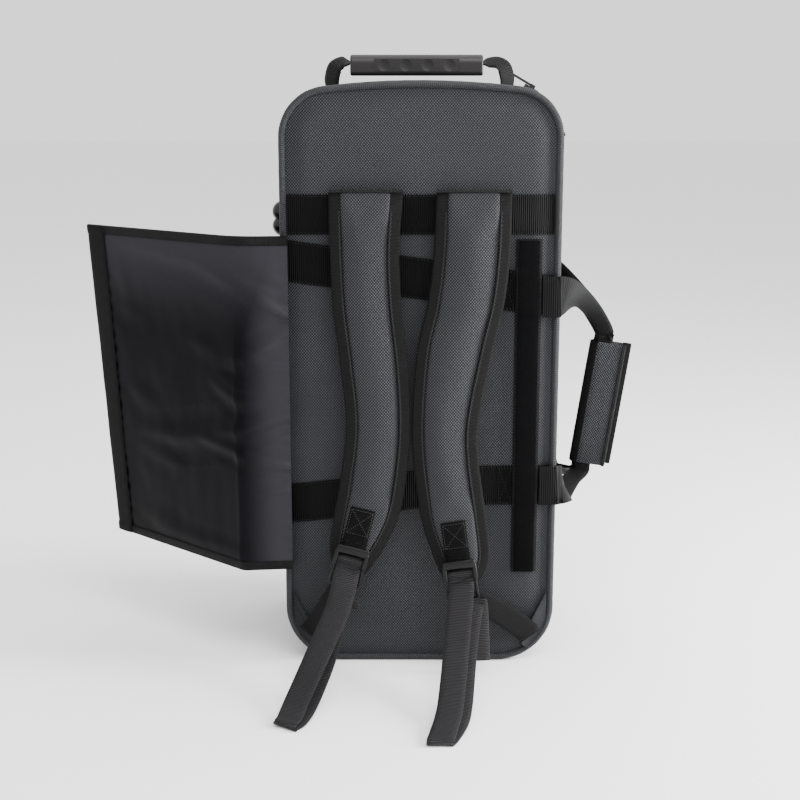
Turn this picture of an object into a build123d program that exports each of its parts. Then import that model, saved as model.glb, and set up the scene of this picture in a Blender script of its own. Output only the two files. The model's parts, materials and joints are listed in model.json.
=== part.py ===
from build123d import *
import os
from math import cos, radians, sin, sqrt

os.makedirs("parts", exist_ok=True)

# The case stands upright on its short end. X runs across it, Y through its depth, Z up.
# The back panel with the shoulder straps faces -Y. The origin is the bottom's centre.

# Driving dimensions of the case body, in millimetres
case_width = 271.0
case_height = 580.0
case_depth = 190.0
opening_plane = 17.0
shell_wall = 9.0
top_crown = 10.5
corner_top = 45.0
corner_base = 54.0
panel_rise = 3.5
panel_edge_round = 3.0
piping_radius = 3.5
seat_gap = 0.15
fit_gap = 0.3

# Zipper
tape_width = 8.5
tape_proud = 2.5
tape_let_in = 1.5
tape_start = -92.0
slider_length = 16.0
slider_width = 11.0
slider_height = 5.0
slider_gap = 0.4
slider_low_angle = 24.0
slider_high_angle = 60.0
bail_radius = 1.6
bail_width = 3.8
bail_bore = 0.7
pin_gap = 0.08
pull_length = 26.0
pull_width = 9.0
pull_bar = 2.2

# Hinge side
hinge_strip_base = 84.0
hinge_strip_top = 505.0
hinge_strip_proud = 6.5
hinge_strip_reach = 76.0
hinge_fabric_width = 10.0
hinge_fabric_thickness = 1.2
foot_radius = 10.5
foot_sink = 2.5
foot_pitch = 14.0
foot_centre = 446.0
back_foot_depth = -40.0
lid_foot_depth = 60.0

# Webbing sewn to the back panel
webbing_thickness = 1.6
top_band_base = 436.0
top_band_top = 474.0
handle_webbing_width = 40.0
upper_band_height = 393.5
upper_band_slope = -0.1325
lower_band_height = 187.0
lower_band_slope = 0.122
lower_band_level_from = 30.0
loop_strip_width = 25.0
loop_strip_inset = 15.5
loop_strip_base = 96.5
loop_strip_top = 431.5
loop_strip_thickness = 3.4
patch_thickness = 2.0
patch_top = 75.5
patch_in = 102.0
patch_in_height = 23.0
patch_low = 109.0
patch_low_height = 12.0

# Shoulder straps
strap_top = 478.0
strap_foot_clearance = 18.0
strap_foot = 90.0
pad_thickness = 10.0
pad_round = 3.0
binding_width = 11.5
binding_thickness = 8.0
binding_round = 2.5
strap_webbing_width = 25.0
strap_webbing_thickness = 1.5
tab_length = 34.0
tab_width = 24.4
buckle_width = 32.0
buckle_length = 34.0
buckle_rail = 3.2
buckle_depth = 4.4
bar_radius = 1.7
bar_pitch = 13.0
anchor_inset = 26.0
anchor_heights = (38.0, 36.0)
anchor_proud = 3.4
anchor_behind_bar = 2.6

# Storage flap on the left seam
flap_base = 100.0
flap_top = 435.0
flap_thickness = 2.6
flap_side_width = 48.0
flap_panel_width = 154.0
flap_edge_width = 50.0
flap_fold_gap = 2.0
flap_crease_thickness = 1.2
flap_side_turn = 186.3
flap_panel_turn = 141.5
flap_binding = 9.0
flap_binding_thickness = 4.0
hook_strip_width = 24.0
hook_strip_thickness = 1.8

# Top handle
top_handle_depth = -40.0
grip_left = -68.0
grip_right = 60.0
grip_clearance = 7.5
grip_height = 20.0
grip_width = 30.0
grip_round = 8.0
grip_end_round = 4.0
grip_inset_length = 82.0
grip_inset_height = 12.0
grip_inset_depth = 1.4
dimple_pitch = 21.0
dimple_radius = 6.5
dimple_depth = 1.0
dimple_count = 4
top_webbing_width = 25.0
top_webbing_thickness = 2.6
loop_left = -90.0
loop_right = 88.0
loop_stand = 9.0
loop_lean = 7.0
loop_shoulder = 13.0
anchor_inner_reach = 8.0
anchor_outer_reach = 20.0

# Side handle
wrap_top = (202.0, 312.0)
wrap_foot = (182.5, 181.0)
wrap_plane = 12.0
wrap_depth = 19.0
wrap_reach = 22.0
wrap_width = 36.0
wrap_thickness = 2.6
wrap_leaf_width = 44.0
fold_width = 20.0
fold_thickness = 4.2
handle_offset = 4.1
handle_shift = -3.9

# Inside
bed_depth = 84.0
bed_gap = 0.4
lid_pad_thickness = 22.0
bell_radius = 64.0
bell_length = 150.0
bell_well_slope = 72.0
tube_well_width = 60.0
valve_well_width = 108.0
valve_well_height = 190.0
well_depth = 68.0
box_well_width = 80.0
well_margin = 16.0
well_foot_margin = 14.0
valve_well_lift = 20.0
mouthpiece_radius = 14.0
mouthpiece_pitch = 36.0

# Front pocket
pocket_inset = 26.0
pocket_base = 64.0
pocket_top = 452.0
pocket_proud = 12.0
pocket_round = 5.0
pocket_zip_width = 14.0
pocket_zip_thickness = 1.6
pocket_zip_drop = 26.0

# Sizes that follow from the ones above
half_width = case_width / 2 - piping_radius
wall_top = case_height - piping_radius
back_face = -case_depth / 2
lid_face = case_depth / 2
mouth_gap = 0.5
seam_inset = piping_radius + 0.5
corner_centre_x = half_width - corner_top
crown_radius = (half_width**2 + top_crown**2) / (2 * top_crown)
corner_centre_height = wall_top - crown_radius + sqrt((crown_radius - corner_top) ** 2 - corner_centre_x**2)
strip_face = -half_width - hinge_strip_proud
hinge_axis_x = strip_face - fit_gap
band_face = back_face - webbing_thickness - seat_gap
loop_strip_right = half_width - loop_strip_inset
loop_strip_left = loop_strip_right - loop_strip_width
grip_base = wall_top + grip_clearance
grip_top = grip_base + grip_height


def case_outline(half, base, top):
    """The case seen from behind: straight sides, rounded corners and a slightly crowned top."""
    shoulder = top - top_crown * half / half_width
    edges = [
        Line((-half, base), (half, base)),
        Line((half, base), (half, shoulder)),
        ThreePointArc((half, shoulder), (0, top), (-half, shoulder)),
        Line((-half, shoulder), (-half, base)),
    ]
    face = make_face(edges)
    inset = half_width - half
    face = fillet(face.vertices().group_by(Axis.Y)[0], corner_base - inset)
    return fillet(face.vertices().group_by(Axis.Y)[-1], corner_top - inset)


def wall_outline(inset=0.0):
    return case_outline(half_width - inset, inset, wall_top - inset)


def upright(outline, depth_from, depth_to):
    """Extrudes an outline drawn across and up, from one depth of the case to another."""
    return extrude(Plane.XZ.offset(-depth_from) * outline, amount=depth_from - depth_to)


def block(x_range, y_range, z_range):
    size = [high - low for low, high in (x_range, y_range, z_range)]
    centre = [(low + high) / 2 for low, high in (x_range, y_range, z_range)]
    return Pos(*centre) * Box(*size)


def piping_path():
    return case_outline(half_width, piping_radius, wall_top).face().outer_wire()


def piping(face, inward, radius):
    """The corded seam round a panel's edge. Inward is +1 on the back half and -1 on the lid."""
    depth = face + inward * (piping_radius + 0.5)
    path = Plane.XZ.offset(-depth) * piping_path()
    start = Plane(origin=path @ 0, z_dir=path % 0)
    return sweep(start * Circle(radius), path=path)


def padded_panel(face, inward, proud=0.0):
    """The panel inside the piping, with its edge rolled down to the seam."""
    outline = case_outline(half_width - seam_inset, seam_inset + piping_radius, wall_top - seam_inset)
    outer = face - inward * proud
    panel = upright(outline, outer, face + inward * panel_rise)
    edges = panel.edges().group_by(Axis.Y)[0 if inward > 0 else -1]
    return fillet(edges, panel_edge_round)


def zipper_ring(mouth, inward, slack=0.0):
    """The band that the zipper tape fills, from the hinge's top end round to its bottom end."""
    outer = case_outline(half_width + tape_proud + slack, 0, wall_top + tape_proud + slack)
    inner = wall_outline(tape_let_in + slack)
    start, end = mouth - inward * (tape_width + slack), mouth + inward * slack
    ring = upright(outer, start, end) - upright(inner, start, end)
    keep = block(
        (tape_start - slack, case_width),
        (min(start, end), max(start, end)),
        (-slack, case_height * 2),
    )
    return ring & keep


def half_shell(face, inward, mouth):
    """One stiffened, fabric-covered half of the case, open at its mouth."""
    wall_from = face + inward * panel_rise
    body = upright(wall_outline(), wall_from, mouth) + padded_panel(face, inward)
    cavity = upright(wall_outline(shell_wall), face + inward * shell_wall, mouth + inward)
    body = body - cavity - piping(face, inward, piping_radius + seat_gap)
    return body - zipper_ring(mouth, inward, seat_gap)


back_mouth = opening_plane - mouth_gap / 2
lid_mouth = opening_plane + mouth_gap / 2


def foot(depth, height):
    """A moulded rubber bumper of two round lobes on the hinge side."""
    lobes = [
        Pos(strip_face + foot_sink, depth, height + side * foot_pitch / 2) * Sphere(foot_radius)
        for side in (-1, 1)
    ]
    keep = block(
        (strip_face - 2 * foot_radius, strip_face - seat_gap),
        (depth - foot_radius, depth + foot_radius),
        (height - 2 * foot_radius, height + 2 * foot_radius),
    )
    return (lobes[0] + lobes[1]) & keep


def hinge_strip(depth_from, depth_to):
    strip = block(
        (strip_face, -half_width - seat_gap),
        (depth_from, depth_to),
        (hinge_strip_base, hinge_strip_top),
    )
    return fillet(strip.edges().filter_by(Axis.Z).group_by(Axis.X)[0], hinge_strip_proud / 4)


def hinge_fabric():
    """The flexing strip of fabric between the two hinge strips."""
    slack = seat_gap
    return block(
        (hinge_axis_x, hinge_axis_x + hinge_fabric_thickness),
        (opening_plane - hinge_fabric_width / 2 + slack, opening_plane + hinge_fabric_width / 2 - slack),
        (hinge_strip_base, hinge_strip_top),
    )


def panel_webbing(thickness, region, gap=seat_gap):
    """Webbing or a patch lying on the back panel, cut to a region drawn across and up."""
    cover = padded_panel(back_face, 1, thickness + gap) - padded_panel(back_face, 1, gap)
    return cover & upright(region, back_face - 4 * thickness, back_face + panel_rise)


def band_region(spine, width):
    """A band of even width along a spine of points across and up."""
    upper = [(x, z + width / 2) for x, z in spine]
    lower = [(x, z - width / 2) for x, z in reversed(spine)]
    return make_face(Polyline(*upper, *lower, close=True))


def top_band_region():
    middle = (top_band_base + top_band_top) / 2
    ends = [(-case_width, middle), (case_width, middle)]
    return band_region(ends, top_band_top - top_band_base)


def upper_band_region():
    ends = [(x, upper_band_height + upper_band_slope * x) for x in (-case_width, case_width)]
    return band_region(ends, handle_webbing_width)


def lower_band_region():
    rise = lower_band_slope * (case_width + lower_band_level_from)
    spine = [
        (-case_width, lower_band_height - rise),
        (lower_band_level_from, lower_band_height),
        (case_width, lower_band_height),
    ]
    return band_region(spine, handle_webbing_width)


def loop_strip():
    """The hook-and-loop strip that holds the closed flap. It lies over both handle bands."""
    strip = block(
        (loop_strip_left, loop_strip_right),
        (back_face - loop_strip_thickness, back_face - seat_gap),
        (loop_strip_base, loop_strip_top),
    )
    for region in (upper_band_region(), lower_band_region()):
        strip = strip - upright(region, band_face - seat_gap, back_face)
    return strip


def corner_patch(side):
    points = [
        (side * case_width, patch_top),
        (side * (half_width - seam_inset), patch_top),
        (side * patch_in, patch_in_height),
        (side * patch_low, patch_low_height),
        (side * case_width, patch_low_height),
    ]
    return panel_webbing(patch_thickness, make_face(Polyline(*points, close=True)))


def webbing(points, across, width, thickness):
    """Flat webbing lofted through points. Across is the direction of its width at each point."""
    points = [Vector(*point) for point in points]
    sections = []
    for i, point in enumerate(points):
        before, after = points[max(i - 1, 0)], points[min(i + 1, len(points) - 1)]
        first = (point - before).normalized() if i else Vector(0, 0, 0)
        last = (after - point).normalized() if i < len(points) - 1 else Vector(0, 0, 0)
        along = (first + last).normalized()
        side = Vector(*across[i])
        side = (side - along * side.dot(along)).normalized()
        size = width[i] if isinstance(width, list) else width
        depth = thickness[i] if isinstance(thickness, list) else thickness
        sections.append(Plane(origin=point, x_dir=side, z_dir=along) * Rectangle(size, depth))
    return loft(sections, ruled=True)


# The straps hang in a plane that leans a little away from the panel at its foot.
strap_drop = strap_top - strap_foot
strap_lean = strap_foot_clearance / strap_drop
lean_length = sqrt(1 + strap_lean**2)
strap_back = band_face - fit_gap
strap_plane = Plane(
    origin=(0, strap_back, strap_top),
    x_dir=(1, 0, 0),
    z_dir=(0, -1 / lean_length, strap_lean / lean_length),
)

# Edges of the two pads, as seen from behind, from the top seam down
left_pad_outer = [
    (-88, 0), (-87, -58), (-84.5, -110), (-78, -165),
    (-72.5, -225), (-78.5, -280), (-86.5, -325),
]
left_pad_inner = [
    (-17, 0), (-20.5, -58), (-18.5, -110), (-12.5, -165),
    (-9.5, -225), (-13, -273), (-21, -317),
]
right_pad_inner = [
    (14.5, 0), (12.2, -58), (6.5, -106), (-3.7, -154),
    (-8.4, -222), (-6.4, -268), (1.0, -320),
]
right_pad_outer = [
    (86.5, 0), (85.1, -58), (80.2, -106), (69.4, -154),
    (56.6, -222), (56.9, -262), (64.0, -313),
]
left_pad_end = [(-89.5, -350), (-84, -374), (-70, -382), (-54, -375), (-36, -350)]
right_pad_end = [(10.0, -350), (23.0, -380), (40, -389), (58, -384), (68.5, -360)]


def inset_points(points, inset):
    """Moves each point of a path sideways, to the left of the way it runs."""
    moved = []
    for i, point in enumerate(points):
        before, after = points[max(i - 1, 0)], points[min(i + 1, len(points) - 1)]
        run = Vector(after[0] - before[0], after[1] - before[1]).normalized()
        moved.append((point[0] - run.Y * inset, point[1] + run.X * inset))
    return moved


def pad_outline(left_edge, right_edge, end, inset):
    """A strap pad's outline: one curve down one edge, round the end and up the other edge."""
    starts = [(edge[0][0], 2 * binding_width) for edge in (left_edge, right_edge)]
    edges = [*left_edge, *end, *reversed(right_edge)]
    path = inset_points([starts[0], *edges, starts[1]], inset)
    face = make_face([Spline(*path), Line(path[-1], path[0])])
    return face & (Pos(0, -strap_drop) * Rectangle(2 * case_width, 2 * strap_drop))


def front_edges(solid):
    """The curved edges of a pad's outer face. Its straight top is sewn in and stays square."""
    outermost = max(solid.faces(), key=lambda face: strap_plane.to_local_coords(face.center()).Z)
    return [edge for edge in outermost.edges() if edge.geom_type != GeomType.LINE]


def strap_pad(left_edge, right_edge, end):
    """The padded core of a shoulder strap, crowned towards its edges."""
    outline = pad_outline(left_edge, right_edge, end, binding_width)
    pad = extrude(strap_plane * outline, amount=pad_thickness)
    return fillet(front_edges(pad), pad_round)


def pad_binding(left_edge, right_edge, end):
    """The wide binding tape round a pad's two edges and its end."""
    outline = pad_outline(left_edge, right_edge, end, 0)
    inner = pad_outline(left_edge, right_edge, end, binding_width - seat_gap)
    rim = extrude(strap_plane * outline, amount=binding_thickness)
    rim = fillet(front_edges(rim), binding_round)
    return rim - extrude(strap_plane.offset(-1) * inner, amount=pad_thickness + 2)


bar_height = pad_thickness + bar_radius + fit_gap + strap_webbing_thickness + 0.5


def buckle_plane(bar_x, bar_s, turn):
    """The buckle's own plane: its upper bar lies on the local X axis."""
    return Plane(strap_plane.location * Pos(bar_x, bar_s, bar_height) * Rot(0, 0, turn))


def bar(plane, drop, radius, length):
    return plane * (Pos(0, -drop, 0) * Rot(0, 90, 0) * Cylinder(radius, length))


def rolled_end(plane, drop, length):
    """Webbing rolled round a buckle's bar, with running clearance."""
    inner = bar_radius + fit_gap
    outer = inner + strap_webbing_thickness
    return bar(plane, drop, outer, length) - bar(plane, drop, inner, length + 1)


def buckle(plane):
    """A moulded ladder-lock buckle: two rails, two round bars and a flared lower lip."""
    rails = []
    for side in (-1, 1):
        middle = side * (buckle_width - buckle_rail) / 2
        rail = Pos(middle, -buckle_length / 2 + bar_radius, 0)
        rail = rail * Box(buckle_rail, buckle_length + 2 * bar_radius, buckle_depth)
        rails.append(fillet(rail.edges().filter_by(Axis.Y), buckle_rail / 4))
    inside = buckle_width - buckle_rail
    lip_thickness = buckle_rail
    lip = Pos(0, -buckle_length, -buckle_depth / 2 + lip_thickness / 2)
    lip = lip * Box(inside, 2 * buckle_rail, lip_thickness)
    frame = plane * (rails[0] + rails[1] + fillet(lip.edges().filter_by(Axis.X), lip_thickness / 4))
    return frame + bar(plane, 0, bar_radius, inside) + bar(plane, bar_pitch, bar_radius, inside)


def tab(plane):
    """The sewn tab that holds the buckle's upper bar to the pad."""
    length = tab_length - bar_radius
    level = -bar_height + pad_thickness + seat_gap + strap_webbing_thickness / 2
    plate = Pos(0, length / 2, level) * Box(tab_width, length, strap_webbing_thickness)
    return plane * plate + rolled_end(plane, 0, tab_width)


def tail(plane, route, across):
    """The strap's tail: rolled over the middle bar, then hanging to a loose fold on the floor."""
    level = bar_radius + fit_gap + strap_webbing_thickness / 2
    starts = [(0, -bar_pitch, level), (0, -buckle_length * 0.6, level + 0.4)]
    points = [plane.from_local_coords(Vector(*point)) for point in starts]
    points = [tuple(point) for point in points] + route
    directions = [tuple(plane.x_dir)] * len(starts) + across
    ply = webbing(points, directions, strap_webbing_width, strap_webbing_thickness)
    return ply + rolled_end(plane, bar_pitch, strap_webbing_width)


# Routes of the two tails from the buckle down to the fold on the floor and back up
floor_gap = 1.2
left_route = [(-80, -148, 79), (-91, -172, 55), (-103, -198, 31), (-115, -227, 13), (-122.5, -249, 6.6)]
left_fold = [(-125.6, -258, 5.6), (-126.6, -261.2, 3.3), (-125.4, -258, floor_gap)]
left_return = [(-119, -246, 2.2), (-109, -226, 9), (-96, -200, 23), (-83, -175, 44), (-68, -152, 72)]
right_route = [(38, -152, 73), (34, -180, 50), (28, -212, 29), (22, -245, 14), (18, -274, 7.2)]
right_fold = [(16.4, -285, 5.6), (16.0, -288.4, 3.3), (16.4, -285, floor_gap)]
right_return = [(19, -272, 1.8), (25, -250, 6), (34, -226, 15), (43, -208, 26), (51, -197, 39)]


def tail_across(hanging, lying, route, returning):
    """The direction of the webbing's width, turning evenly down to the fold and up again."""
    half = len(route) // 2
    down = [tuple(a + (b - a) * i / half for a, b in zip(hanging, lying)) for i in range(half)]
    rest = len(route) - half - 1
    up = [tuple(a + (b - a) * i / rest for a, b in zip(lying, returning)) for i in range(rest + 1)]
    return down + up


left_run = left_route + left_fold + left_return
right_run = right_route + right_fold + right_return
left_turns = tail_across((0.95, -0.1, -0.25), (0.9, -0.4, 0), left_run, (0.95, -0.2, -0.1))
right_turns = tail_across((1, 0, 0.1), (1, 0, 0), right_run, (1, 0, -0.1))

# Where each buckle's upper bar lies: across, down the strap, and its turn in degrees
left_buckle = buckle_plane(-66.6, -350, -14.5)
right_buckle = buckle_plane(37.7, -364, 8)

# Where the webbing from each lower corner bends out to its buckle
left_anchor_bend = (-90, -113, 66)
right_anchor_bend = (78, -110, 60)


def anchor_webbing(side, plane, height, bend):
    """Webbing from the corner patch to the back of the buckle's lower bar."""
    low = (side * (half_width - anchor_inset), band_face - anchor_proud, height)
    end = plane.from_local_coords(Vector(0, -buckle_length + 1, -buckle_depth / 2 - anchor_behind_bar))
    points = [low, bend, tuple(end)]
    across = [(0.55, 0, side * 0.8), (0.6, 0.1, side * 0.75), tuple(plane.x_dir)]
    return webbing(points, across, strap_webbing_width, strap_webbing_thickness)


def direction(turn):
    return Vector(cos(radians(turn)), sin(radians(turn)), 0)


flap_root = Vector(-half_width + seam_inset, back_face - flap_binding_thickness / 2 - fit_gap, 0)
flap_fold = flap_root + direction(flap_side_turn) * flap_side_width
flap_bend = flap_fold + direction(flap_panel_turn) * flap_panel_width
flap_end = flap_bend + direction(flap_panel_turn) * flap_edge_width


def flap_piece(start, end, first_gap, last_gap):
    """One stiffened panel of the flap, with its binding along the top and bottom."""
    along = (end - start).normalized()
    plane = Plane(origin=start + along * first_gap, x_dir=along, z_dir=(0, 0, 1))
    length = (end - start).length - first_gap - last_gap
    height = flap_top - flap_base
    sheet = Pos(length / 2, 0, flap_base + height / 2) * Box(length, flap_thickness, height)
    for level in (flap_base + flap_binding / 2, flap_top - flap_binding / 2):
        edge = Pos(length / 2, 0, level) * Box(length, flap_binding_thickness, flap_binding)
        sheet += fillet(edge.edges().filter_by(Axis.X), flap_binding_thickness / 4)
    return plane * sheet


def flap_crease(fold, before, after):
    """The bare fabric between two stiffened panels, bent along the fold."""
    reach = flap_fold_gap - seat_gap
    middle = Vector(0, 0, (flap_base + flap_top) / 2)
    ends = [fold + (before - fold).normalized() * reach, fold, fold + (after - fold).normalized() * reach]
    points = [tuple(end + middle) for end in ends]
    return webbing(points, [(0, 0, 1)] * len(points), flap_top - flap_base, flap_crease_thickness)


def hook_strip():
    """The hook strip along the flap's free edge, on the side that closes against the case."""
    along = (flap_end - flap_bend).normalized()
    plane = Plane(origin=flap_end - along * hook_strip_width, x_dir=along, z_dir=(0, 0, 1))
    height = flap_top - flap_base - 2 * flap_binding - 2 * seat_gap
    level = (flap_base + flap_top) / 2
    offset = flap_thickness / 2 + seat_gap + hook_strip_thickness / 2
    strip = Pos(hook_strip_width / 2, offset, level) * Box(hook_strip_width, hook_strip_thickness, height)
    return plane * strip


def top_grip():
    """The moulded rubber grip, with a let-in finger panel on each side."""
    grip = block(
        (grip_left, grip_right),
        (top_handle_depth - grip_width / 2, top_handle_depth + grip_width / 2),
        (grip_base, grip_top),
    )
    grip = fillet(grip.edges().filter_by(Axis.X).group_by(Axis.Z)[-1], grip_round)
    grip = fillet(grip.edges().filter_by(Axis.X).group_by(Axis.Z)[0], grip_end_round)
    ends = grip.faces().group_by(Axis.X)
    grip = fillet(ends[0].edges() + ends[-1].edges(), grip_end_round / 2)
    return grip - grip_panel(-1, 0) - grip_panel(1, 0)


def grip_panel(side, gap):
    """The space of one let-in finger panel, less a gap all round."""
    face = top_handle_depth + side * grip_width / 2
    inner = face - side * (grip_inset_depth - gap / 2)
    middle = (grip_left + grip_right) / 2
    reach = grip_inset_length / 2 - gap
    low = grip_base + grip_end_round + gap
    return block(
        (middle - reach, middle + reach),
        (min(inner, face), max(inner, face)),
        (low, low + grip_inset_height - 2 * gap),
    )


def grip_inset(side):
    """A soft finger panel with shallow round dimples."""
    face = top_handle_depth + side * grip_width / 2
    middle = (grip_left + grip_right) / 2
    level = grip_base + grip_end_round + grip_inset_height / 2
    panel = grip_panel(side, seat_gap)
    ball = (dimple_radius**2 + dimple_depth**2) / (2 * dimple_depth)
    reach = min(dimple_radius, grip_inset_height / 2 - 2 * seat_gap)
    for i in range(dimple_count):
        x = middle + (i - (dimple_count - 1) / 2) * dimple_pitch
        dimple = Pos(x, face + side * (ball - dimple_depth), level) * Sphere(ball)
        bound = Pos(x, face, level) * Rot(90, 0, 0) * Cylinder(reach, 4 * dimple_depth)
        panel = panel - (dimple & bound)
    return panel


def crown_at(x):
    """Height of the shell's top at a distance from its centre, along the crown or the corner."""
    return wall_top - crown_radius + sqrt(crown_radius**2 - x**2)


def top_loop(side):
    """The handle's webbing: it stands up from its sewn anchor and runs into the grip's end."""
    foot_x = loop_left if side < 0 else loop_right
    end_x = grip_left if side < 0 else grip_right
    base = crown_at(foot_x) + top_webbing_thickness + 3 * fit_gap
    middle = (grip_base + grip_top) / 2
    points = [
        (foot_x, top_handle_depth, base),
        (foot_x - side * webbing_thickness, top_handle_depth, base + loop_stand),
        (foot_x - side * loop_lean, top_handle_depth, grip_top - 2 * top_webbing_thickness),
        (foot_x - side * loop_shoulder, top_handle_depth, grip_top - top_webbing_thickness),
        (end_x + side * grip_end_round, top_handle_depth, middle + top_webbing_thickness),
        (end_x + side * fit_gap, top_handle_depth, middle + top_webbing_thickness),
    ]
    across = [(0, 1, 0)] * len(points)
    return webbing(points, across, top_webbing_width, top_webbing_thickness)


def top_anchor(side):
    """The end of the handle's webbing, box-stitched flat to the top of the back shell."""
    foot_x = loop_left if side < 0 else loop_right
    inner, outer = foot_x - side * anchor_inner_reach, foot_x + side * anchor_outer_reach
    outline = case_outline(half_width + top_webbing_thickness, 0, wall_top + top_webbing_thickness)
    near = case_outline(half_width + seat_gap, 0, wall_top + seat_gap)
    start, end = top_handle_depth - top_webbing_width / 2, top_handle_depth + top_webbing_width / 2
    band = upright(outline, start, end) - upright(near, start, end)
    keep = block((min(inner, outer), max(inner, outer)), (start, end), (case_height / 2, case_height))
    return band & keep


def wrap_axis_plane():
    """The grip wrap's plane at its foot: local X across the wrap, local Z up along the handle."""
    rise = Vector(wrap_top[0] - wrap_foot[0], 0, wrap_top[1] - wrap_foot[1]).normalized()
    return Plane(origin=(wrap_foot[0], wrap_plane, wrap_foot[1]), x_dir=(rise.Z, 0, -rise.X), z_dir=rise)


wrap_length = sqrt((wrap_top[0] - wrap_foot[0]) ** 2 + (wrap_top[1] - wrap_foot[1]) ** 2)


def grip_wrap():
    """The padded wrap: a round spine on the case's side and the leaf that faces the back."""
    outer, inner = wrap_depth / 2, wrap_depth / 2 - wrap_thickness
    spine = Pos(outer - wrap_reach, 0, 0)
    ring = spine * Circle(outer) - spine * Circle(inner)
    ring = ring & (Pos(-wrap_reach, 0, 0) * Rectangle(2 * outer, 2 * outer))
    leaf_length = wrap_width - outer
    leaf = Pos(outer - wrap_reach + leaf_length / 2, -outer + wrap_thickness / 2, 0)
    leaf = leaf * Rectangle(leaf_length, wrap_thickness)
    return extrude(wrap_axis_plane() * (ring + leaf), amount=wrap_length)


def grip_wrap_leaf():
    """The leaf that opens, with its fastening strip along the free edge."""
    outer = wrap_depth / 2
    leaf_length = wrap_leaf_width - outer - fit_gap
    start = outer - wrap_reach + fit_gap
    leaf = Pos(start + leaf_length / 2, outer - wrap_thickness / 2, 0)
    leaf = leaf * Rectangle(leaf_length, wrap_thickness)
    return extrude(wrap_axis_plane() * leaf, amount=wrap_length)


def side_handle(side):
    """One half's carrying strap. Side is -1 on the back shell and +1 on the lid."""
    face = back_face if side < 0 else lid_face
    layers = 1.5 * webbing_thickness + 2 * seat_gap if side < 0 else webbing_thickness / 2 + seat_gap
    out = side * layers
    sewn = loop_strip_right + 1.5
    seam = half_width - seam_inset
    plane = wrap_axis_plane()
    inside = [
        tuple(plane.from_local_coords(Vector(handle_shift, side * handle_offset, level)))
        for level in (wrap_length + 8, wrap_length - 6, 6, -8)
    ]
    upper_z = upper_band_height + upper_band_slope * half_width
    lower_z = lower_band_height
    edge = piping_radius * 2 + 2
    depth = (face + wrap_plane + side * handle_offset) / 2
    points = [
        (sewn, face + out, upper_z),
        (seam + edge, face + out, upper_z),
        (seam + edge + 8, face - side * 10, upper_z),
        (seam + 34, depth, upper_z - 18),
        (seam + 48, (depth + inside[0][1]) / 2, upper_z - 36),
        *inside,
        (seam + 32, (depth + inside[0][1]) / 2, lower_z - 18),
        (seam + 21, depth, lower_z - 24),
        (seam + edge + 7, face - side * 10, lower_z),
        (seam + edge, face + out, lower_z),
        (sewn, face + out, lower_z),
    ]
    narrow, wide = fold_width, handle_webbing_width
    widths = [wide, wide, wide * 0.9] + [narrow] * 8 + [wide * 0.9, wide, wide]
    flat, folded = webbing_thickness, fold_thickness
    depths = [flat] * 3 + [folded] * 8 + [flat] * 3
    up, out_x, down = (0, 0, 1), tuple(plane.x_dir), (0, 0, -1)
    upper_turn, lower_turn = (0.75, 0, 0.65), (0.8, 0, -0.6)
    across = [up, up, (0.3, 0, 0.95), upper_turn, (0.9, 0, 0.4)] + [out_x] * 4
    across += [(0.95, 0, -0.3), lower_turn, (0.3, 0, -0.95), down, down]
    return webbing(points, across, widths, depths)


def slider(angle):
    """A zipper slider riding on the tape round the upper corner, with its bail."""
    reach = corner_top + tape_proud + slider_gap
    body = Pos(0, 0, reach + slider_height / 2) * Box(slider_length, slider_width, slider_height)
    body = fillet(body.edges().filter_by(Axis.Z), slider_width / 4)
    level = reach + slider_height + bail_radius
    post = Pos(0, 0, level) * Box(slider_length / 3, bail_width, 2 * bail_radius)
    hole = Pos(0, 0, level) * Rot(90, 0, 0) * Cylinder(bail_radius * bail_bore, slider_width)
    return corner_place(angle) * (body + post - hole)


def corner_place(angle):
    """The corner's centre, turned so that local Z points out at an angle above the horizontal."""
    return Pos(corner_centre_x, opening_plane, corner_centre_height) * Rot(0, 90 - angle, 0)


def pull(angle, heading):
    """A wire pull hooked through the bail. Heading is +1 down the side and -1 along the top."""
    level = corner_top + tape_proud + slider_gap + slider_height + bail_radius
    pin_radius = bail_radius * bail_bore - pin_gap
    pin = Rot(90, 0, 0) * Cylinder(pin_radius, pull_width)
    arm = Box(pull_length, pull_bar, pull_bar)
    arms = [
        Pos(heading * pull_length / 2, side * (pull_width - pull_bar) / 2, 0) * arm for side in (-1, 1)
    ]
    end = Pos(heading * (pull_length - pull_bar), 0, 0) * Box(3 * pull_bar, pull_width, pull_bar)
    end = fillet(end.edges().filter_by(Axis.Z), pull_bar)
    return corner_place(angle) * Pos(0, 0, level) * (pin + arms[0] + arms[1] + end)


def bed_space(gap):
    """The inside of the back half, less a running gap."""
    return wall_outline(shell_wall + gap)


def instrument_bed():
    """The moulded foam bed: wells for bell, tubes and valves, an accessory well, mouthpiece holes."""
    start = back_face + shell_wall + bed_gap
    bed = upright(bed_space(bed_gap), start, start + bed_depth)
    for well in bed_wells().values():
        bed = bed - well
    return bed


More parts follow.
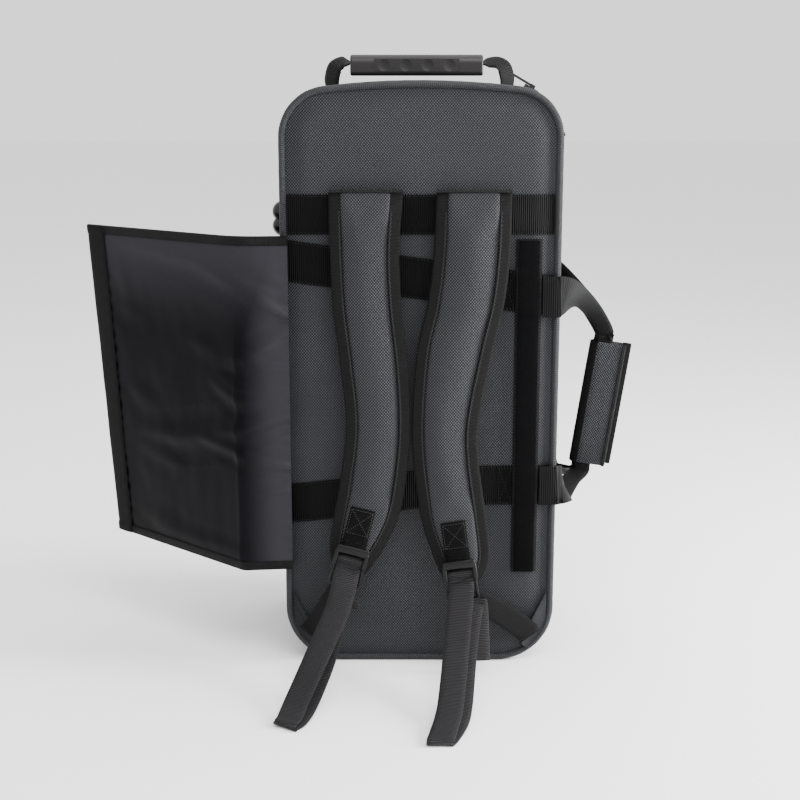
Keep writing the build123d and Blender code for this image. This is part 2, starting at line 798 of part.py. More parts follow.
def bed_wells():
    surface = back_face + shell_wall + bed_gap + bed_depth
    floor = surface - well_depth
    left = -half_width + shell_wall + well_margin
    bell_x = left + bell_radius
    base = shell_wall + well_foot_margin
    top = wall_top - shell_wall - well_margin
    over = surface + 1
    rim = upright(Pos(bell_x, base + bell_radius) * Circle(bell_radius), floor, over)
    flare = Trapezoid(2 * bell_radius, bell_length, bell_well_slope)
    flare = upright(Pos(bell_x, base + bell_radius + bell_length / 2) * flare, floor, over)
    tube_left = bell_x - tube_well_width / 2
    tube = block((tube_left, tube_left + tube_well_width), (floor, over), (base + bell_length, top))
    middle = (base + top) / 2 + valve_well_lift
    valve_low, valve_high = middle - valve_well_height / 2, middle + valve_well_height / 2
    valve = block((tube_left, tube_left + valve_well_width), (floor, over), (valve_low, valve_high))
    right = half_width - shell_wall - well_margin
    box = block((right - box_well_width, right), (floor, over), (base, valve_low - well_margin))
    wells = {"bell": rim + flare, "tube": tube, "valve": valve, "box": box}
    for i in range(2):
        height = top - mouthpiece_radius - i * mouthpiece_pitch
        spot = (right - box_well_width / 2, (floor + over) / 2, height)
        wells[f"mouthpiece_{i}"] = Pos(*spot) * Rot(90, 0, 0) * Cylinder(mouthpiece_radius, over - floor)
    return wells


def lid_pad():
    """The soft pad that presses on the instrument when the lid is closed."""
    start = lid_face - shell_wall - bed_gap
    pad = upright(bed_space(bed_gap), start - lid_pad_thickness, start)
    return fillet(pad.edges().group_by(Axis.Y)[0], lid_pad_thickness / 4)


def pocket_outline(inset):
    width = 2 * (half_width - pocket_inset - inset)
    height = pocket_top - pocket_base - 2 * inset
    outline = Pos(0, (pocket_base + pocket_top) / 2) * Rectangle(width, height)
    return fillet(outline.vertices(), corner_top / 2 - inset / 2)


def front_pocket():
    """The flat music pocket on the lid."""
    start = lid_face + seat_gap
    pocket = upright(pocket_outline(0), start, start + pocket_proud)
    return fillet(pocket.edges().group_by(Axis.Y)[-1], pocket_round)


def pocket_zip_heights():
    middle = pocket_top - pocket_zip_drop
    return middle - pocket_zip_width / 2, middle + pocket_zip_width / 2


def pocket_zip():
    reach = half_width - pocket_inset - corner_top / 2
    face = lid_face + seat_gap + pocket_proud + seat_gap
    return block((-reach, reach), (face, face + pocket_zip_thickness), pocket_zip_heights())


def pocket_slider():
    low, high = pocket_zip_heights()
    face = lid_face + 2 * seat_gap + pocket_proud + pocket_zip_thickness + slider_gap
    reach = half_width - pocket_inset - corner_top / 2 - slider_length
    middle = (low + high) / 2
    span = (middle - slider_width / 2, middle + slider_width / 2)
    body = block((-reach, -reach + slider_length), (face, face + slider_height), span)
    front = face + slider_height + pull_bar / 2
    tag = block(
        (-reach + slider_length / 3, -reach + slider_length * 2 / 3),
        (front - pull_bar, front),
        (middle - pull_length, middle),
    )
    return fillet(body.edges().filter_by(Axis.Y), slider_width / 4) + tag


nodes = {
    "back_shell": half_shell(back_face, 1, back_mouth),
    "back_piping": piping(back_face, 1, piping_radius),
    "back_zipper_tape": zipper_ring(back_mouth, 1),
    "hinge_strip_back": hinge_strip(opening_plane - hinge_strip_reach, opening_plane - hinge_fabric_width / 2),
    "hinge_fabric": hinge_fabric(),
    "back_foot_upper": foot(back_foot_depth, foot_centre),
    "back_foot_lower": foot(back_foot_depth, hinge_strip_base + hinge_strip_top - foot_centre),
    "top_band": panel_webbing(webbing_thickness, top_band_region()),
    "upper_handle_band": panel_webbing(webbing_thickness, upper_band_region()),
    "lower_handle_band": panel_webbing(webbing_thickness, lower_band_region()),
    "loop_strip": loop_strip(),
    "corner_patch_left": corner_patch(-1),
    "corner_patch_right": corner_patch(1),
    "anchor_webbing_left": anchor_webbing(-1, left_buckle, anchor_heights[0], left_anchor_bend),
    "anchor_webbing_right": anchor_webbing(1, right_buckle, anchor_heights[1], right_anchor_bend),
    "instrument_bed": instrument_bed(),
    "top_anchor_left": top_anchor(-1),
    "top_anchor_right": top_anchor(1),
    "top_grip": top_grip(),
    "grip_inset_back": grip_inset(-1),
    "grip_inset_front": grip_inset(1),
    "top_loop_left": top_loop(-1),
    "top_loop_right": top_loop(1),
    "side_handle_back": side_handle(-1),
    "side_handle_lid": side_handle(1),
    "grip_wrap": grip_wrap(),
    "grip_wrap_leaf": grip_wrap_leaf(),
    "lid_shell": half_shell(lid_face, -1, lid_mouth),
    "lid_piping": piping(lid_face, -1, piping_radius),
    "lid_zipper_tape": zipper_ring(lid_mouth, -1),
    "hinge_strip_lid": hinge_strip(opening_plane + hinge_fabric_width / 2, lid_face - 3 * piping_radius),
    "lid_foot_upper": foot(lid_foot_depth, foot_centre),
    "lid_foot_lower": foot(lid_foot_depth, hinge_strip_base + hinge_strip_top - foot_centre),
    "lid_pad": lid_pad(),
    "front_pocket": front_pocket(),
    "pocket_zipper": pocket_zip(),
    "pocket_slider": pocket_slider(),
    "slider_low": slider(slider_low_angle),
    "slider_high": slider(slider_high_angle),
    "pull_low": pull(slider_low_angle, 1),
    "pull_high": pull(slider_high_angle, -1),
    "flap_side": flap_piece(flap_root, flap_fold, 0, flap_fold_gap),
    "flap_panel": flap_piece(flap_fold, flap_bend, flap_fold_gap, flap_fold_gap),
    "flap_edge": flap_piece(flap_bend, flap_end, flap_fold_gap, 0),
    "flap_fold_crease": flap_crease(flap_fold, flap_root, flap_bend),
    "flap_edge_crease": flap_crease(flap_bend, flap_fold, flap_end),
    "hook_strip": hook_strip(),
    "strap_pad_left": strap_pad(left_pad_outer, left_pad_inner, left_pad_end),
    "strap_pad_right": strap_pad(right_pad_inner, right_pad_outer, right_pad_end),
    "pad_binding_left": pad_binding(left_pad_outer, left_pad_inner, left_pad_end),
    "pad_binding_right": pad_binding(right_pad_inner, right_pad_outer, right_pad_end),
    "strap_tab_left": tab(left_buckle),
    "strap_tab_right": tab(right_buckle),
    "buckle_left": buckle(left_buckle),
    "buckle_right": buckle(right_buckle),
    "strap_tail_left": tail(left_buckle, left_run, left_turns),
    "strap_tail_right": tail(right_buckle, right_run, right_turns),
}

for name, shape in nodes.items():
    export_step(shape, f"parts/{name}.step")
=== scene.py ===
# %% [markdown]
# A trumpet case, seen from behind. The measured solids come first, as a frame that never moves.
# Every visible cloth, strap and moulding is then made around them, and most ride on the solids'
# bodies.
# Lengths below are in millimetres, as a case maker writes them, and become metres in the mesh.

import json
from math import atan2, cos, floor, hypot, pi, radians, sin, sqrt

import bmesh
import bpy
from mathutils import Matrix, Vector, noise

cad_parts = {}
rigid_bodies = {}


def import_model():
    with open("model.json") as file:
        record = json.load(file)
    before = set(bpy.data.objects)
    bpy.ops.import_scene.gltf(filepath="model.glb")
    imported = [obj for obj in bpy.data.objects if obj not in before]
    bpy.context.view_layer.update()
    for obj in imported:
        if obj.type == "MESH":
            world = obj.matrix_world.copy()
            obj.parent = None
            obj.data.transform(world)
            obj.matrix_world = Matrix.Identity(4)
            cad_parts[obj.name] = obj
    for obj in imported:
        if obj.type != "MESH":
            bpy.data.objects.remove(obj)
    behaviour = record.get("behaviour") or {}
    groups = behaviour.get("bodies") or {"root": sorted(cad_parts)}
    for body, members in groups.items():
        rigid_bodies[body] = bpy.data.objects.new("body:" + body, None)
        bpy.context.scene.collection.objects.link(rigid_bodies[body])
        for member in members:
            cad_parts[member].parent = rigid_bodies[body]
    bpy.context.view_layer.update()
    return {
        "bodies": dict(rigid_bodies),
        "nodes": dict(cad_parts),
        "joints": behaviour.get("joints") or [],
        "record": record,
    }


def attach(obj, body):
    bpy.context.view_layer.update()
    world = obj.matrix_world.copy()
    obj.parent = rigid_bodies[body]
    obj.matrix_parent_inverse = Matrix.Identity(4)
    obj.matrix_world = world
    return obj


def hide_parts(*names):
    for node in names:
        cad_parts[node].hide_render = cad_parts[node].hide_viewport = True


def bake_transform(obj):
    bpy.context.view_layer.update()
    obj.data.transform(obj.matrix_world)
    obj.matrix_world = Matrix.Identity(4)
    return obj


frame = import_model()
solids = frame["nodes"]
MM = 0.001

# %% [markdown]
# The photograph was taken from a little above the case's top, looking down, with a short
# telephoto lens. The camera stands on the case's back side, level with the top handle.

# %% Camera
film_width, focal_length = 36.0, 64.2
eye_place, looking_down = (-0.020, -1.461, 0.583), 12.76

eye = bpy.data.cameras.new("camera")
eye.sensor_width = film_width
eye.lens = focal_length
camera = bpy.data.objects.new("camera", eye)
camera.location = eye_place
camera.rotation_euler = (radians(90 - looking_down), 0.0, 0.0)
bpy.context.scene.collection.objects.link(camera)
bpy.context.scene.camera = camera
print("lens:", focal_length, "mm, looking down by", looking_down, "degrees")

# %% [markdown]
# The floor is a wide pale sheet, and soft daylight comes from all sides, as in a product studio.
# Large lamps hang above, for a soft shadow under the case. A tall strip stands far to the right, so
# that the case's right edge and the rounded straps get a highlight, and a weak one to the left.

# %% Floor, daylight and lamps
def new_material(name):
    material = bpy.data.materials.new(name)
    material.use_nodes = True
    return material


def principled(material):
    return material.node_tree.nodes["Principled BSDF"]


floor_mesh = bpy.data.meshes.new("floor")
sheet = bmesh.new()
bmesh.ops.create_grid(sheet, x_segments=1, y_segments=1, size=12.0)
sheet.to_mesh(floor_mesh)
floor_piece = bpy.data.objects.new("floor", floor_mesh)
bpy.context.scene.collection.objects.link(floor_piece)
pale = new_material("pale_floor")
principled(pale).inputs["Base Color"].default_value = (0.93, 0.93, 0.93, 1)
principled(pale).inputs["Roughness"].default_value = 0.9
floor_mesh.materials.append(pale)

world = bpy.data.worlds.new("studio")
world.use_nodes = True
world.node_tree.nodes["Background"].inputs["Color"].default_value = (1, 1, 1, 1)
world.node_tree.nodes["Background"].inputs["Strength"].default_value = 1.5
bpy.context.scene.world = world


def lamp(name, place, target, size, power):
    light = bpy.data.lights.new(name, "AREA")
    light.shape = "RECTANGLE"
    light.size, light.size_y = size
    light.energy = power
    body = bpy.data.objects.new(name, light)
    body.location = place
    body.rotation_euler = (Vector(target) - Vector(place)).to_track_quat("-Z", "Y").to_euler()
    bpy.context.scene.collection.objects.link(body)


# Each lamp has its place, the spot that it faces and its size in metres, and its power in watts
lamp("key", (0.4, -0.95, 1.5), (0, 0, 0.45), (0.9, 0.5), 17)
lamp("right_strip", (1.6, -0.22, 0.6), (0, -0.1, 0.3), (0.4, 1.4), 105)
lamp("left_strip", (-2.2, -1.1, 0.9), (-0.1, 0, 0.3), (0.8, 1.8), 2)
lamp("overhead", (0.1, 0.4, 2.6), (0, 0, 0.4), (2.2, 2.2), 30)
lamp("front_right", (1.15, -1.35, 0.9), (0.12, -0.1, 0.4), (0.25, 1.3), 3)
lamp("floor_front", (0.0, -1.6, 2.6), (0, -1.0, 0.0), (2.4, 1.2), 16)
print("lamps:", len(bpy.data.lights))

# %% [markdown]
# Cloth patterns are laid out in metres along each piece, in a map named "pattern": the first
# number runs along the cloth and the second across it. A weave is then two cosines multiplied,
# which gives the staggered light knots of ballistic nylon, and a rib is one cosine.

# %% Shader helpers
def put(tree, kind, **settings):
    """A new node in a material, with its settings."""
    node = tree.nodes.new(kind)
    for name, value in settings.items():
        setattr(node, name, value)
    return node


def feed(tree, socket, value):
    """Gives a socket its value: a link when the value comes from a node, or else a number."""
    if isinstance(value, bpy.types.NodeSocket):
        tree.links.new(value, socket)
    else:
        socket.default_value = value


def maths(tree, operation, *values):
    node = put(tree, "ShaderNodeMath", operation=operation)
    for socket, value in zip(node.inputs, values):
        feed(tree, socket, value)
    return node.outputs[0]


def cloth_axes(tree, flat):
    """The pattern's two running lengths: the map's, or across and up the case for a flat piece."""
    if flat:
        source = put(tree, "ShaderNodeTexCoord").outputs["Object"]
    else:
        source = put(tree, "ShaderNodeUVMap", uv_map="pattern").outputs[0]
    split = put(tree, "ShaderNodeSeparateXYZ")
    tree.links.new(source, split.inputs[0])
    return split.outputs[0], split.outputs[2 if flat else 1]


def ripple(tree, run, pitch):
    """A cosine along one running length, with the pitch in millimetres."""
    turned = maths(tree, "MULTIPLY", run, 2 * pi / (pitch * MM))
    return maths(tree, "COSINE", turned)


def fade(tree, value, low, high):
    """0 below low and 1 above high, with an eased step between."""
    node = put(tree, "ShaderNodeMapRange", interpolation_type="SMOOTHSTEP")
    feed(tree, node.inputs["Value"], value)
    node.inputs["From Min"].default_value = low
    node.inputs["From Max"].default_value = high
    return node.outputs[0]


def mixed(tree, factor, first, second):
    """Two colours mixed. The node keeps its colours in sockets 6 and 7, and its result in 2."""
    node = put(tree, "ShaderNodeMix", data_type="RGBA")
    feed(tree, node.inputs[0], factor)
    feed(tree, node.inputs[6], first)
    feed(tree, node.inputs[7], second)
    return node.outputs[2]


def speckle(tree, scale):
    """Soft random spots, so many to a metre."""
    node = put(tree, "ShaderNodeTexNoise")
    node.inputs["Scale"].default_value = scale
    node.inputs["Detail"].default_value = 3.0
    tree.links.new(put(tree, "ShaderNodeTexCoord").outputs["Object"], node.inputs["Vector"])
    return node.outputs[0]


def relief(tree, height, depth):
    """Fine relief under the light, with its depth in millimetres."""
    node = put(tree, "ShaderNodeBump")
    node.inputs["Distance"].default_value = depth * MM
    node.inputs["Strength"].default_value = 1.0
    tree.links.new(height, node.inputs["Height"])
    tree.links.new(node.outputs[0], tree.nodes["Principled BSDF"].inputs["Normal"])


def grey(level):
    return (level, level, level, 1)


# %% [markdown]
# Ballistic nylon is a coarse basket weave: bright knots where a yarn lies on top, black gaps
# between. The knots are staggered: two cosines, 2.7 mm along and 3.1 mm across, light the place
# where both are high or both are low. A finer yarn runs aslant over each knot, and the cloth is a
# little darker in soft patches, where it was handled.

# %% Woven cloths
def woven(name, dark, light, pitch, flat=False, sheen=0.0):
    material = new_material(name)
    tree = material.node_tree
    along, up = cloth_axes(tree, flat)
    knots = maths(tree, "MULTIPLY", ripple(tree, along, pitch[0]), ripple(tree, up, pitch[1]))
    aslant = maths(tree, "ADD", along, up)
    yarn = maths(tree, "MULTIPLY", ripple(tree, aslant, pitch[0] / 5), 0.12)
    height = maths(tree, "ADD", knots, yarn)
    cloth = mixed(tree, fade(tree, height, -0.2, 0.8), dark, light)
    patches = fade(tree, speckle(tree, 14.0), 0.35, 0.7)
    worn = mixed(tree, patches, cloth, mixed(tree, 0.16, cloth, dark))
    shader = principled(material)
    tree.links.new(worn, shader.inputs["Base Color"])
    shader.inputs["Roughness"].default_value = 0.55
    shader.inputs["Specular IOR Level"].default_value = 0.2
    shader.inputs["Sheen Weight"].default_value = sheen
    shader.inputs["Sheen Roughness"].default_value = 0.45
    relief(tree, height, 0.25)
    return material


def ribbed(name, dark, light, pitch, roughness=0.5, depth=0.3, sheen=0.0, gloss=0.16):
    """Webbing: ribs that run across it, with the finer yarns of each rib along it."""
    material = new_material(name)
    tree = material.node_tree
    along, across = cloth_axes(tree, False)
    ribs = ripple(tree, along, pitch)
    yarns = maths(tree, "MULTIPLY", ripple(tree, across, pitch * 0.42), 0.25)
    height = maths(tree, "ADD", ribs, yarns)
    cloth = mixed(tree, fade(tree, height, -0.9, 1.1), dark, light)
    shader = principled(material)
    tree.links.new(cloth, shader.inputs["Base Color"])
    shader.inputs["Roughness"].default_value = roughness
    shader.inputs["Specular IOR Level"].default_value = gloss
    shader.inputs["Sheen Weight"].default_value = sheen
    relief(tree, height, depth)
    return material


black, near_black, soft_black = grey(0.0008), grey(0.0015), (0.003, 0.003, 0.0033, 1)
ballistic_pitch = (2.7, 3.1)
case_cloth = woven("ballistic_nylon", near_black, (0.039, 0.0415, 0.0495, 1), ballistic_pitch)
cord_cloth = woven("piping_cloth", grey(0.004), (0.052, 0.054, 0.061, 1), (1.9, 2.2), sheen=0.02)
pad_cloth = woven("strap_pad_cloth", near_black, (0.042, 0.044, 0.0515, 1), ballistic_pitch, True)
black_web = ribbed("black_webbing", black, (0.0028, 0.0028, 0.0032, 1), 2.0, gloss=0.06)
tail_web = ribbed("strap_webbing", grey(0.002), (0.021, 0.019, 0.0215, 1), 1.7, sheen=0.01)
anchor_web = ribbed("anchor_webbing", near_black, (0.0085, 0.008, 0.009, 1), 1.7, gloss=0.08)
tab_web = ribbed("tab_webbing", black, (0.0024, 0.0024, 0.0028, 1), 1.7, gloss=0.06)
handle_web = ribbed(
    "handle_webbing", grey(0.0012), (0.0036, 0.0036, 0.0042, 1), 2.1, depth=0.15, gloss=0.07)
binding_web = ribbed(
    "binding_tape", (0.003, 0.0028, 0.003, 1), (0.0072, 0.0066, 0.0068, 1), 1.3, 0.6, gloss=0.1)
print("cloths made")

# %% [markdown]
# The other finishes are the pile of the fastening strips, sewing thread, moulded rubber, black
# plastic, lacquered metal and the bed's plush. All are one colour with soft darker clouds and a
# fine grain, which is deep on pile and plush and shallow on plastic and lacquer.

# %% Smooth and moulded finishes
def plain(name, colour, roughness, grain=900.0, depth=0.05, coat=0.0, sheen=0.0, gloss=0.3):
    material = new_material(name)
    tree = material.node_tree
    shader = principled(material)
    spots = speckle(tree, grain)
    cloudy = fade(tree, speckle(tree, 18.0), 0.3, 0.7)
    darker = tuple(0.75 * part for part in colour[:3]) + (1,)
    tree.links.new(mixed(tree, cloudy, colour, darker), shader.inputs["Base Color"])
    shader.inputs["Roughness"].default_value = roughness
    shader.inputs["Specular IOR Level"].default_value = gloss
    shader.inputs["Coat Weight"].default_value = coat
    shader.inputs["Coat Roughness"].default_value = 0.12
    shader.inputs["Sheen Weight"].default_value = sheen
    relief(tree, spots, depth)
    return material


pile = plain("fastening_pile", (0.002, 0.002, 0.0024, 1), 0.95, 1100.0, 1.2, gloss=0.05)
hook_cloth = plain("hook_pile", soft_black, 0.8, 1500.0, 0.8, gloss=0.12)
thread = plain("black_thread", soft_black, 0.5, gloss=0.2)
grey_thread = plain("grey_thread", (0.030, 0.030, 0.031, 1), 0.6, gloss=0.2)
grip_rubber = plain("grip_rubber", (0.012, 0.0105, 0.0105, 1), 0.42, 700.0, 0.06)
bumper_rubber = plain("bumper_rubber", grey(0.003), 0.3, 600.0, 0.03)
buckle_plastic = plain(
    "buckle_plastic", (0.0025, 0.0025, 0.003, 1), 0.34, 500.0, 0.02, coat=0.03, gloss=0.16)
lacquer = plain("black_lacquer", soft_black, 0.25, 400.0, 0.01, coat=0.4)
plush = plain("bed_plush", (0.010, 0.010, 0.013, 1), 0.95, 1300.0, 0.7, sheen=0.25, gloss=0.1)
coil = plain("zipper_coil", soft_black, 0.35)
print("materials so far:", len(bpy.data.materials))

# %% [markdown]
# The flap's lining is a smooth nylon, nearly black. A painted sheen makes its colour paler in the
# strip beside the seam, where the cloth is gathered, and along its upper edge, where it leans back
# and catches the light.

# %% The lining's nylon
seam_strip, upper_edge = (0.010, 0.050), (0.33, 0.43)


def satin(name, dark, painted_sheen):
    material = plain(name, dark, 0.42, 1400.0, 0.02, gloss=0.055)
    tree = material.node_tree
    shader = principled(material)
    cloth = shader.inputs["Base Color"].links[0].from_socket
    along, up = cloth_axes(tree, False)
    _, height = cloth_axes(tree, True)
    # Painted sheen: the colour turns paler beside the seam and along the upper edge, standing in
    # for light that the nylon catches there
    near_seam = maths(tree, "SUBTRACT", 1.0, fade(tree, along, *seam_strip))
    near_top = maths(tree, "MULTIPLY", fade(tree, height, *upper_edge), 0.9)
    both = maths(tree, "MAXIMUM", near_seam, near_top)
    tree.links.new(mixed(tree, both, cloth, painted_sheen), shader.inputs["Base Color"])
    return material


lining_nylon = satin("lining_nylon", (0.0016, 0.0013, 0.0024, 1), (0.021, 0.0205, 0.0245, 1))
print("finishes made")

# %% [markdown]
# Most cloth pieces start as a flat grid, as real cloth does. A function then says where each
# point of the cloth goes, and another gives its place in the pattern before it was bent.

# %% From a flat grid to a piece
def on_grid(cells, place, pattern, weld=False):
    """A grid moved to place(u, v), with pattern(u, v) kept as its map, both in millimetres."""
    cloth = bmesh.new()
    bmesh.ops.create_grid(cloth, x_segments=cells[0], y_segments=cells[1], size=0.5)
    layer = cloth.loops.layers.uv.new("pattern")
    for face in cloth.faces:
        for corner in face.loops:
            along, across = pattern(corner.vert.co.x + 0.5, corner.vert.co.y + 0.5)
            corner[layer].uv = (along * MM, across * MM)
    for point in cloth.verts:
        point.co = Vector(place(point.co.x + 0.5, point.co.y + 0.5)) * MM
    if weld:
        bmesh.ops.remove_doubles(cloth, verts=cloth.verts, dist=0.01 * MM)
    return cloth


def settle(piece):
    """Fixes a piece's modifiers into its mesh."""
    bpy.context.view_layer.update()
    shown = piece.evaluated_get(bpy.context.evaluated_depsgraph_get())
    mesh = bpy.data.meshes.new_from_object(shown)
    piece.modifiers.clear()
    old, piece.data = piece.data, mesh
    bpy.data.meshes.remove(old)
    mesh.name = piece.name


def make_piece(name, shape, material, body, thickness=0.0, side=-1.0, sharp=50, turn=True):
    """A named piece from a bmesh, which rides on a body. A side of -1 grows its thickness inwards,
    and edges over the sharp angle, in degrees, stay crisp."""
    if turn:
        bmesh.ops.recalc_face_normals(shape, faces=shape.faces)
    mesh = bpy.data.meshes.new(name)
    shape.to_mesh(mesh)
    shape.free()
    mesh.materials.append(material)
    piece = bpy.data.objects.new(name, mesh)
    bpy.context.scene.collection.objects.link(piece)
    if thickness:
        wall = piece.modifiers.new("thickness", "SOLIDIFY")
        wall.thickness, wall.offset = thickness * MM, side
        settle(piece)
    piece.data.shade_smooth()
    piece.data.set_sharp_from_angle(angle=radians(sharp))
    if body:
        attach(piece, body)
    return piece


def smooth_step(value):
    """0 up to 0, 1 from 1 on, and an eased way between."""
    value = min(max(value, 0.0), 1.0)
    return value * value * (3 - 2 * value)


# %% [markdown]
# The case's outline is four rounded corners, with a slightly crowned top. A seam line that lies
# a little further in is the same outline with smaller corners, so one function gives them all.

# %% The case's outline
half, top, crown = 132.0, 576.5, 10.5  # half the width, the height, and how far the top rises
corner_top, corner_base = 45.0, 54.0  # the corners' radii
crown_radius = (half**2 + crown**2) / (2 * crown)
top_x = half - corner_top
top_z = top - crown_radius + sqrt((crown_radius - corner_top) ** 2 - top_x**2)
lean = atan2(top_z - (top - crown_radius), top_x)


def arc(centre, radius, start, end, count):
    """Points round part of a circle, with its angles in radians."""
    angles = [start + (end - start) * i / count for i in range(count + 1)]
    return [(centre[0] + radius * cos(a), centre[1] + radius * sin(a)) for a in angles]


def outline(inset, lift=0.0, drop=0.0):
    """Points round the case, from the middle of the bottom, to the right, up and back."""
    low_x, low_z = half - corner_base, corner_base + lift
    low, high = corner_base - inset, corner_top - inset
    crown_middle = (0, top - crown_radius - drop)
    points = [(low_x * i / 12, inset + lift) for i in range(12)]
    points += arc((low_x, low_z), low, -pi / 2, 0, 16)
    points += [(half - inset, low_z + (top_z - low_z) * i / 60) for i in range(1, 60)]
    points += arc((top_x, top_z - drop), high, 0, lean, 16)
    points += arc(crown_middle, crown_radius - inset, lean, pi / 2, 14)[1:]
    left = [(-x, z) for x, z in reversed(points[:-1])]
    return points + left


class Loop:
    """A closed or open line of flat points, which can be walked by share of its length."""

    def __init__(self, points):
        self.points = [Vector((*point, 0)[:3]) for point in points]
        self.runs = [0.0]
        for a, b in zip(self.points, self.points[1:]):
            self.runs.append(self.runs[-1] + (b - a).length)
        self.length = self.runs[-1]


around = Loop(outline(0.0))
stations = len(around.points) - 1
print("way round the case:", round(around.length), "mm in", stations, "steps")


def ring_cloth(rows, lift=0.0, drop=0.0):
    """A band of cloth round the case: rows give how far in and how deep each line of it lies."""
    rings = [outline(inset, lift, drop) for inset, depth in rows]
    last = len(rows) - 1
    runs = [0.0]
    for (a, b), (c, d) in zip(rows, rows[1:]):
        runs.append(runs[-1] + hypot(a - c, b - d))

    def place(u, v):
        x, z = rings[round(v * last)][round(u * stations)]
        return x, rows[round(v * last)][1], z

    def pattern(u, v):
        return around.runs[round(u * stations)], runs[round(v * last)]

    return on_grid((stations, last), place, pattern, weld=True)


# %% [markdown]
# Each half is a stiff board covered in ballistic nylon. Its wall is one strip of cloth round the
# outline, which rolls in at the piping and at the zipper, and its back is a padded panel whose
# edge falls away softly to the seam. The panel's rings follow the outline inwards.

# %% The padded panels
panel_back, panel_lid, mouth = -95.0, 95.0, 17.0  # the two faces, and where the halves meet
roll_depth, roll_width, seam_inset = 3.6, 22.0, 3.0


def panel_depth(inset):
    """How far a panel's face lies below its highest level, by distance from the outline."""
    return roll_depth * (1 - smooth_step((inset - seam_inset) / roll_width)) ** 1.5


def flat_pattern(shape):
    """Lays a panel's pattern straight across and up the case."""
    layer = shape.loops.layers.uv["pattern"]
    for face in shape.faces:
        for corner in face.loops:
            corner[layer].uv = (corner.vert.co.x, corner.vert.co.z)


def close_ring(shape, level, slack=0.1):
    """Fills the open ring that lies at one depth."""
    rim = [edge for edge in shape.edges if edge.is_boundary]
    ring = [edge for edge in rim if abs(edge.verts[0].co.y - level * MM) < slack * MM]
    bmesh.ops.contextual_create(shape, geom=ring)


def panel(name, face, inward, body, replaced):
    insets = [3.6, 4.0, 4.8, 6, 8, 10, 12.5, 15, 18, 21, 25.2, 32, 40]
    rows = [(inset, face + inward * panel_depth(inset)) for inset in insets]
    tucked_in = (4.2, face + inward * 5.5)
    cloth = ring_cloth([tucked_in] + rows)
    close_ring(cloth, face)
    flat_pattern(cloth)
    piece = make_piece(name, cloth, case_cloth, body, sharp=60)
    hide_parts(replaced)


panel("back_panel", panel_back, 1, "case_back", "back_shell")
panel("lid_panel", panel_lid, -1, "lid", "lid_shell")
print("panels made")

# %% [markdown]
# The wall starts under the piping, bulges by a hair over the stiff board, and ends in a rim that is
# turned in at the zipper. A plush lining runs from that rim down to the floor of each half.

# %% The walls and their lining
def wall(name, face, edge, body):
    """The side wall's cloth, from the piping to the zipper's rim."""
    turn = 1 if edge > face else -1
    start, reach = face + 11 * turn, edge - turn * 10
    rows = [(3.0, face + 3.5 * turn), (1.4, face + 6 * turn), (0.5, face + 8 * turn), (0, start)]
    rows += [(-0.25 * sin(pi * i / 6), start + (reach - start) * i / 6) for i in range(1, 7)]
    rows += [(0.3, edge - turn * 9), (0.6, edge - turn * 8), (0.7, edge - turn * 0.6)]
    rows += [(1.4, edge), (8.0, edge)]
    make_piece(name, ring_cloth(rows), case_cloth, body, sharp=60)


def inner_lining(name, face, edge, body):
    turn = 1 if edge > face else -1
    rows = [(8.0, edge), (8.7, edge - turn), (9.0, edge - 3 * turn)]
    rows += [(9.0, face + 14 * turn), (12, face + 9.5 * turn), (20, face + 9 * turn)]
    cloth = ring_cloth(rows)
    close_ring(cloth, face + 9 * turn)
    flat_pattern(cloth)
    make_piece(name, cloth, plush, body, sharp=60)


wall("back_wall", panel_back, mouth - 0.25, "case_back")
wall("lid_wall", panel_lid, mouth + 0.25, "lid")
inner_lining("back_lining", panel_back, mouth - 0.3, "case_back")
inner_lining("lid_lining", panel_lid, mouth + 0.3, "lid")
print("walls made")

# %% [markdown]
# Piping is a cord in a folded strip of the same cloth, sewn into the seam between wall and panel.
# It is a round section that follows the outline, with a weave that runs on the slant, as the strip
# is cut, and a swell every few millimetres where the sewing thread pulls it in.

# %% Piping
cord_radius, cord_lift, cord_way = 3.45, 3.5, 22  # the way round the cord's section


def cord_round(name, depth, body, replaced):
    path = outline(0.0, lift=cord_lift)
    line = Loop(path)

    def place(u, v):
        i = round(u * stations)
        x, z = path[i]
        ahead = Vector(path[(i + 1) % stations]) - Vector(path[(i - 1) % stations])
        out = Vector((ahead.y, -ahead.x)).normalized()
        turned = 2 * pi * v
        swell = cord_radius + 0.08 * sin(line.runs[i] / 3.1)
        sideways = swell * cos(turned)
        return x + out.x * sideways, depth + swell * sin(turned), z + out.y * sideways

    def pattern(u, v):
        return line.runs[round(u * stations)] + cord_way * v, cord_way * v

    cloth = on_grid((stations, 14), place, pattern, weld=True)
    piece = make_piece(name, cloth, cord_cloth, body)
    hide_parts(replaced)


cord_round("piping_back_half", panel_back + 4.0, "case_back", "back_piping")
cord_round("piping_lid_half", panel_lid - 4.0, "lid", "lid_piping")
print("piping made")

# %% [markdown]
# The black webbing is sewn flat onto the back panel, so each band takes its depth from the panel
# under it. The two diagonal bands run on to carry the side handle.

# %% Webbing on the back panel
def inset_of(x, z):
    """How far a point of the panel lies inside the case's outline."""
    x = abs(x)
    if x > half - corner_base and z < corner_base:
        return corner_base - hypot(x - half + corner_base, corner_base - z)
    if x > top_x and z > top_z:
        return corner_top - hypot(x - top_x, z - top_z)
    return min(half - x, z, crown_radius - hypot(x, z - top + crown_radius))


def on_back(x, z, lift):
    """A point of the back panel, lifted off its face."""
    return x, panel_back + panel_depth(inset_of(x, z)) - lift, z


# Each band's middle line, from the case's left edge to its right
edge_x, lower_z = half - 4.0, 187.0


def top_height(x):
    return 455.0


def upper_height(x):
    return 393.5 - 0.1325 * x


def lower_height(x):
    return lower_z if x > 30 else lower_z + 0.122 * (x - 30)


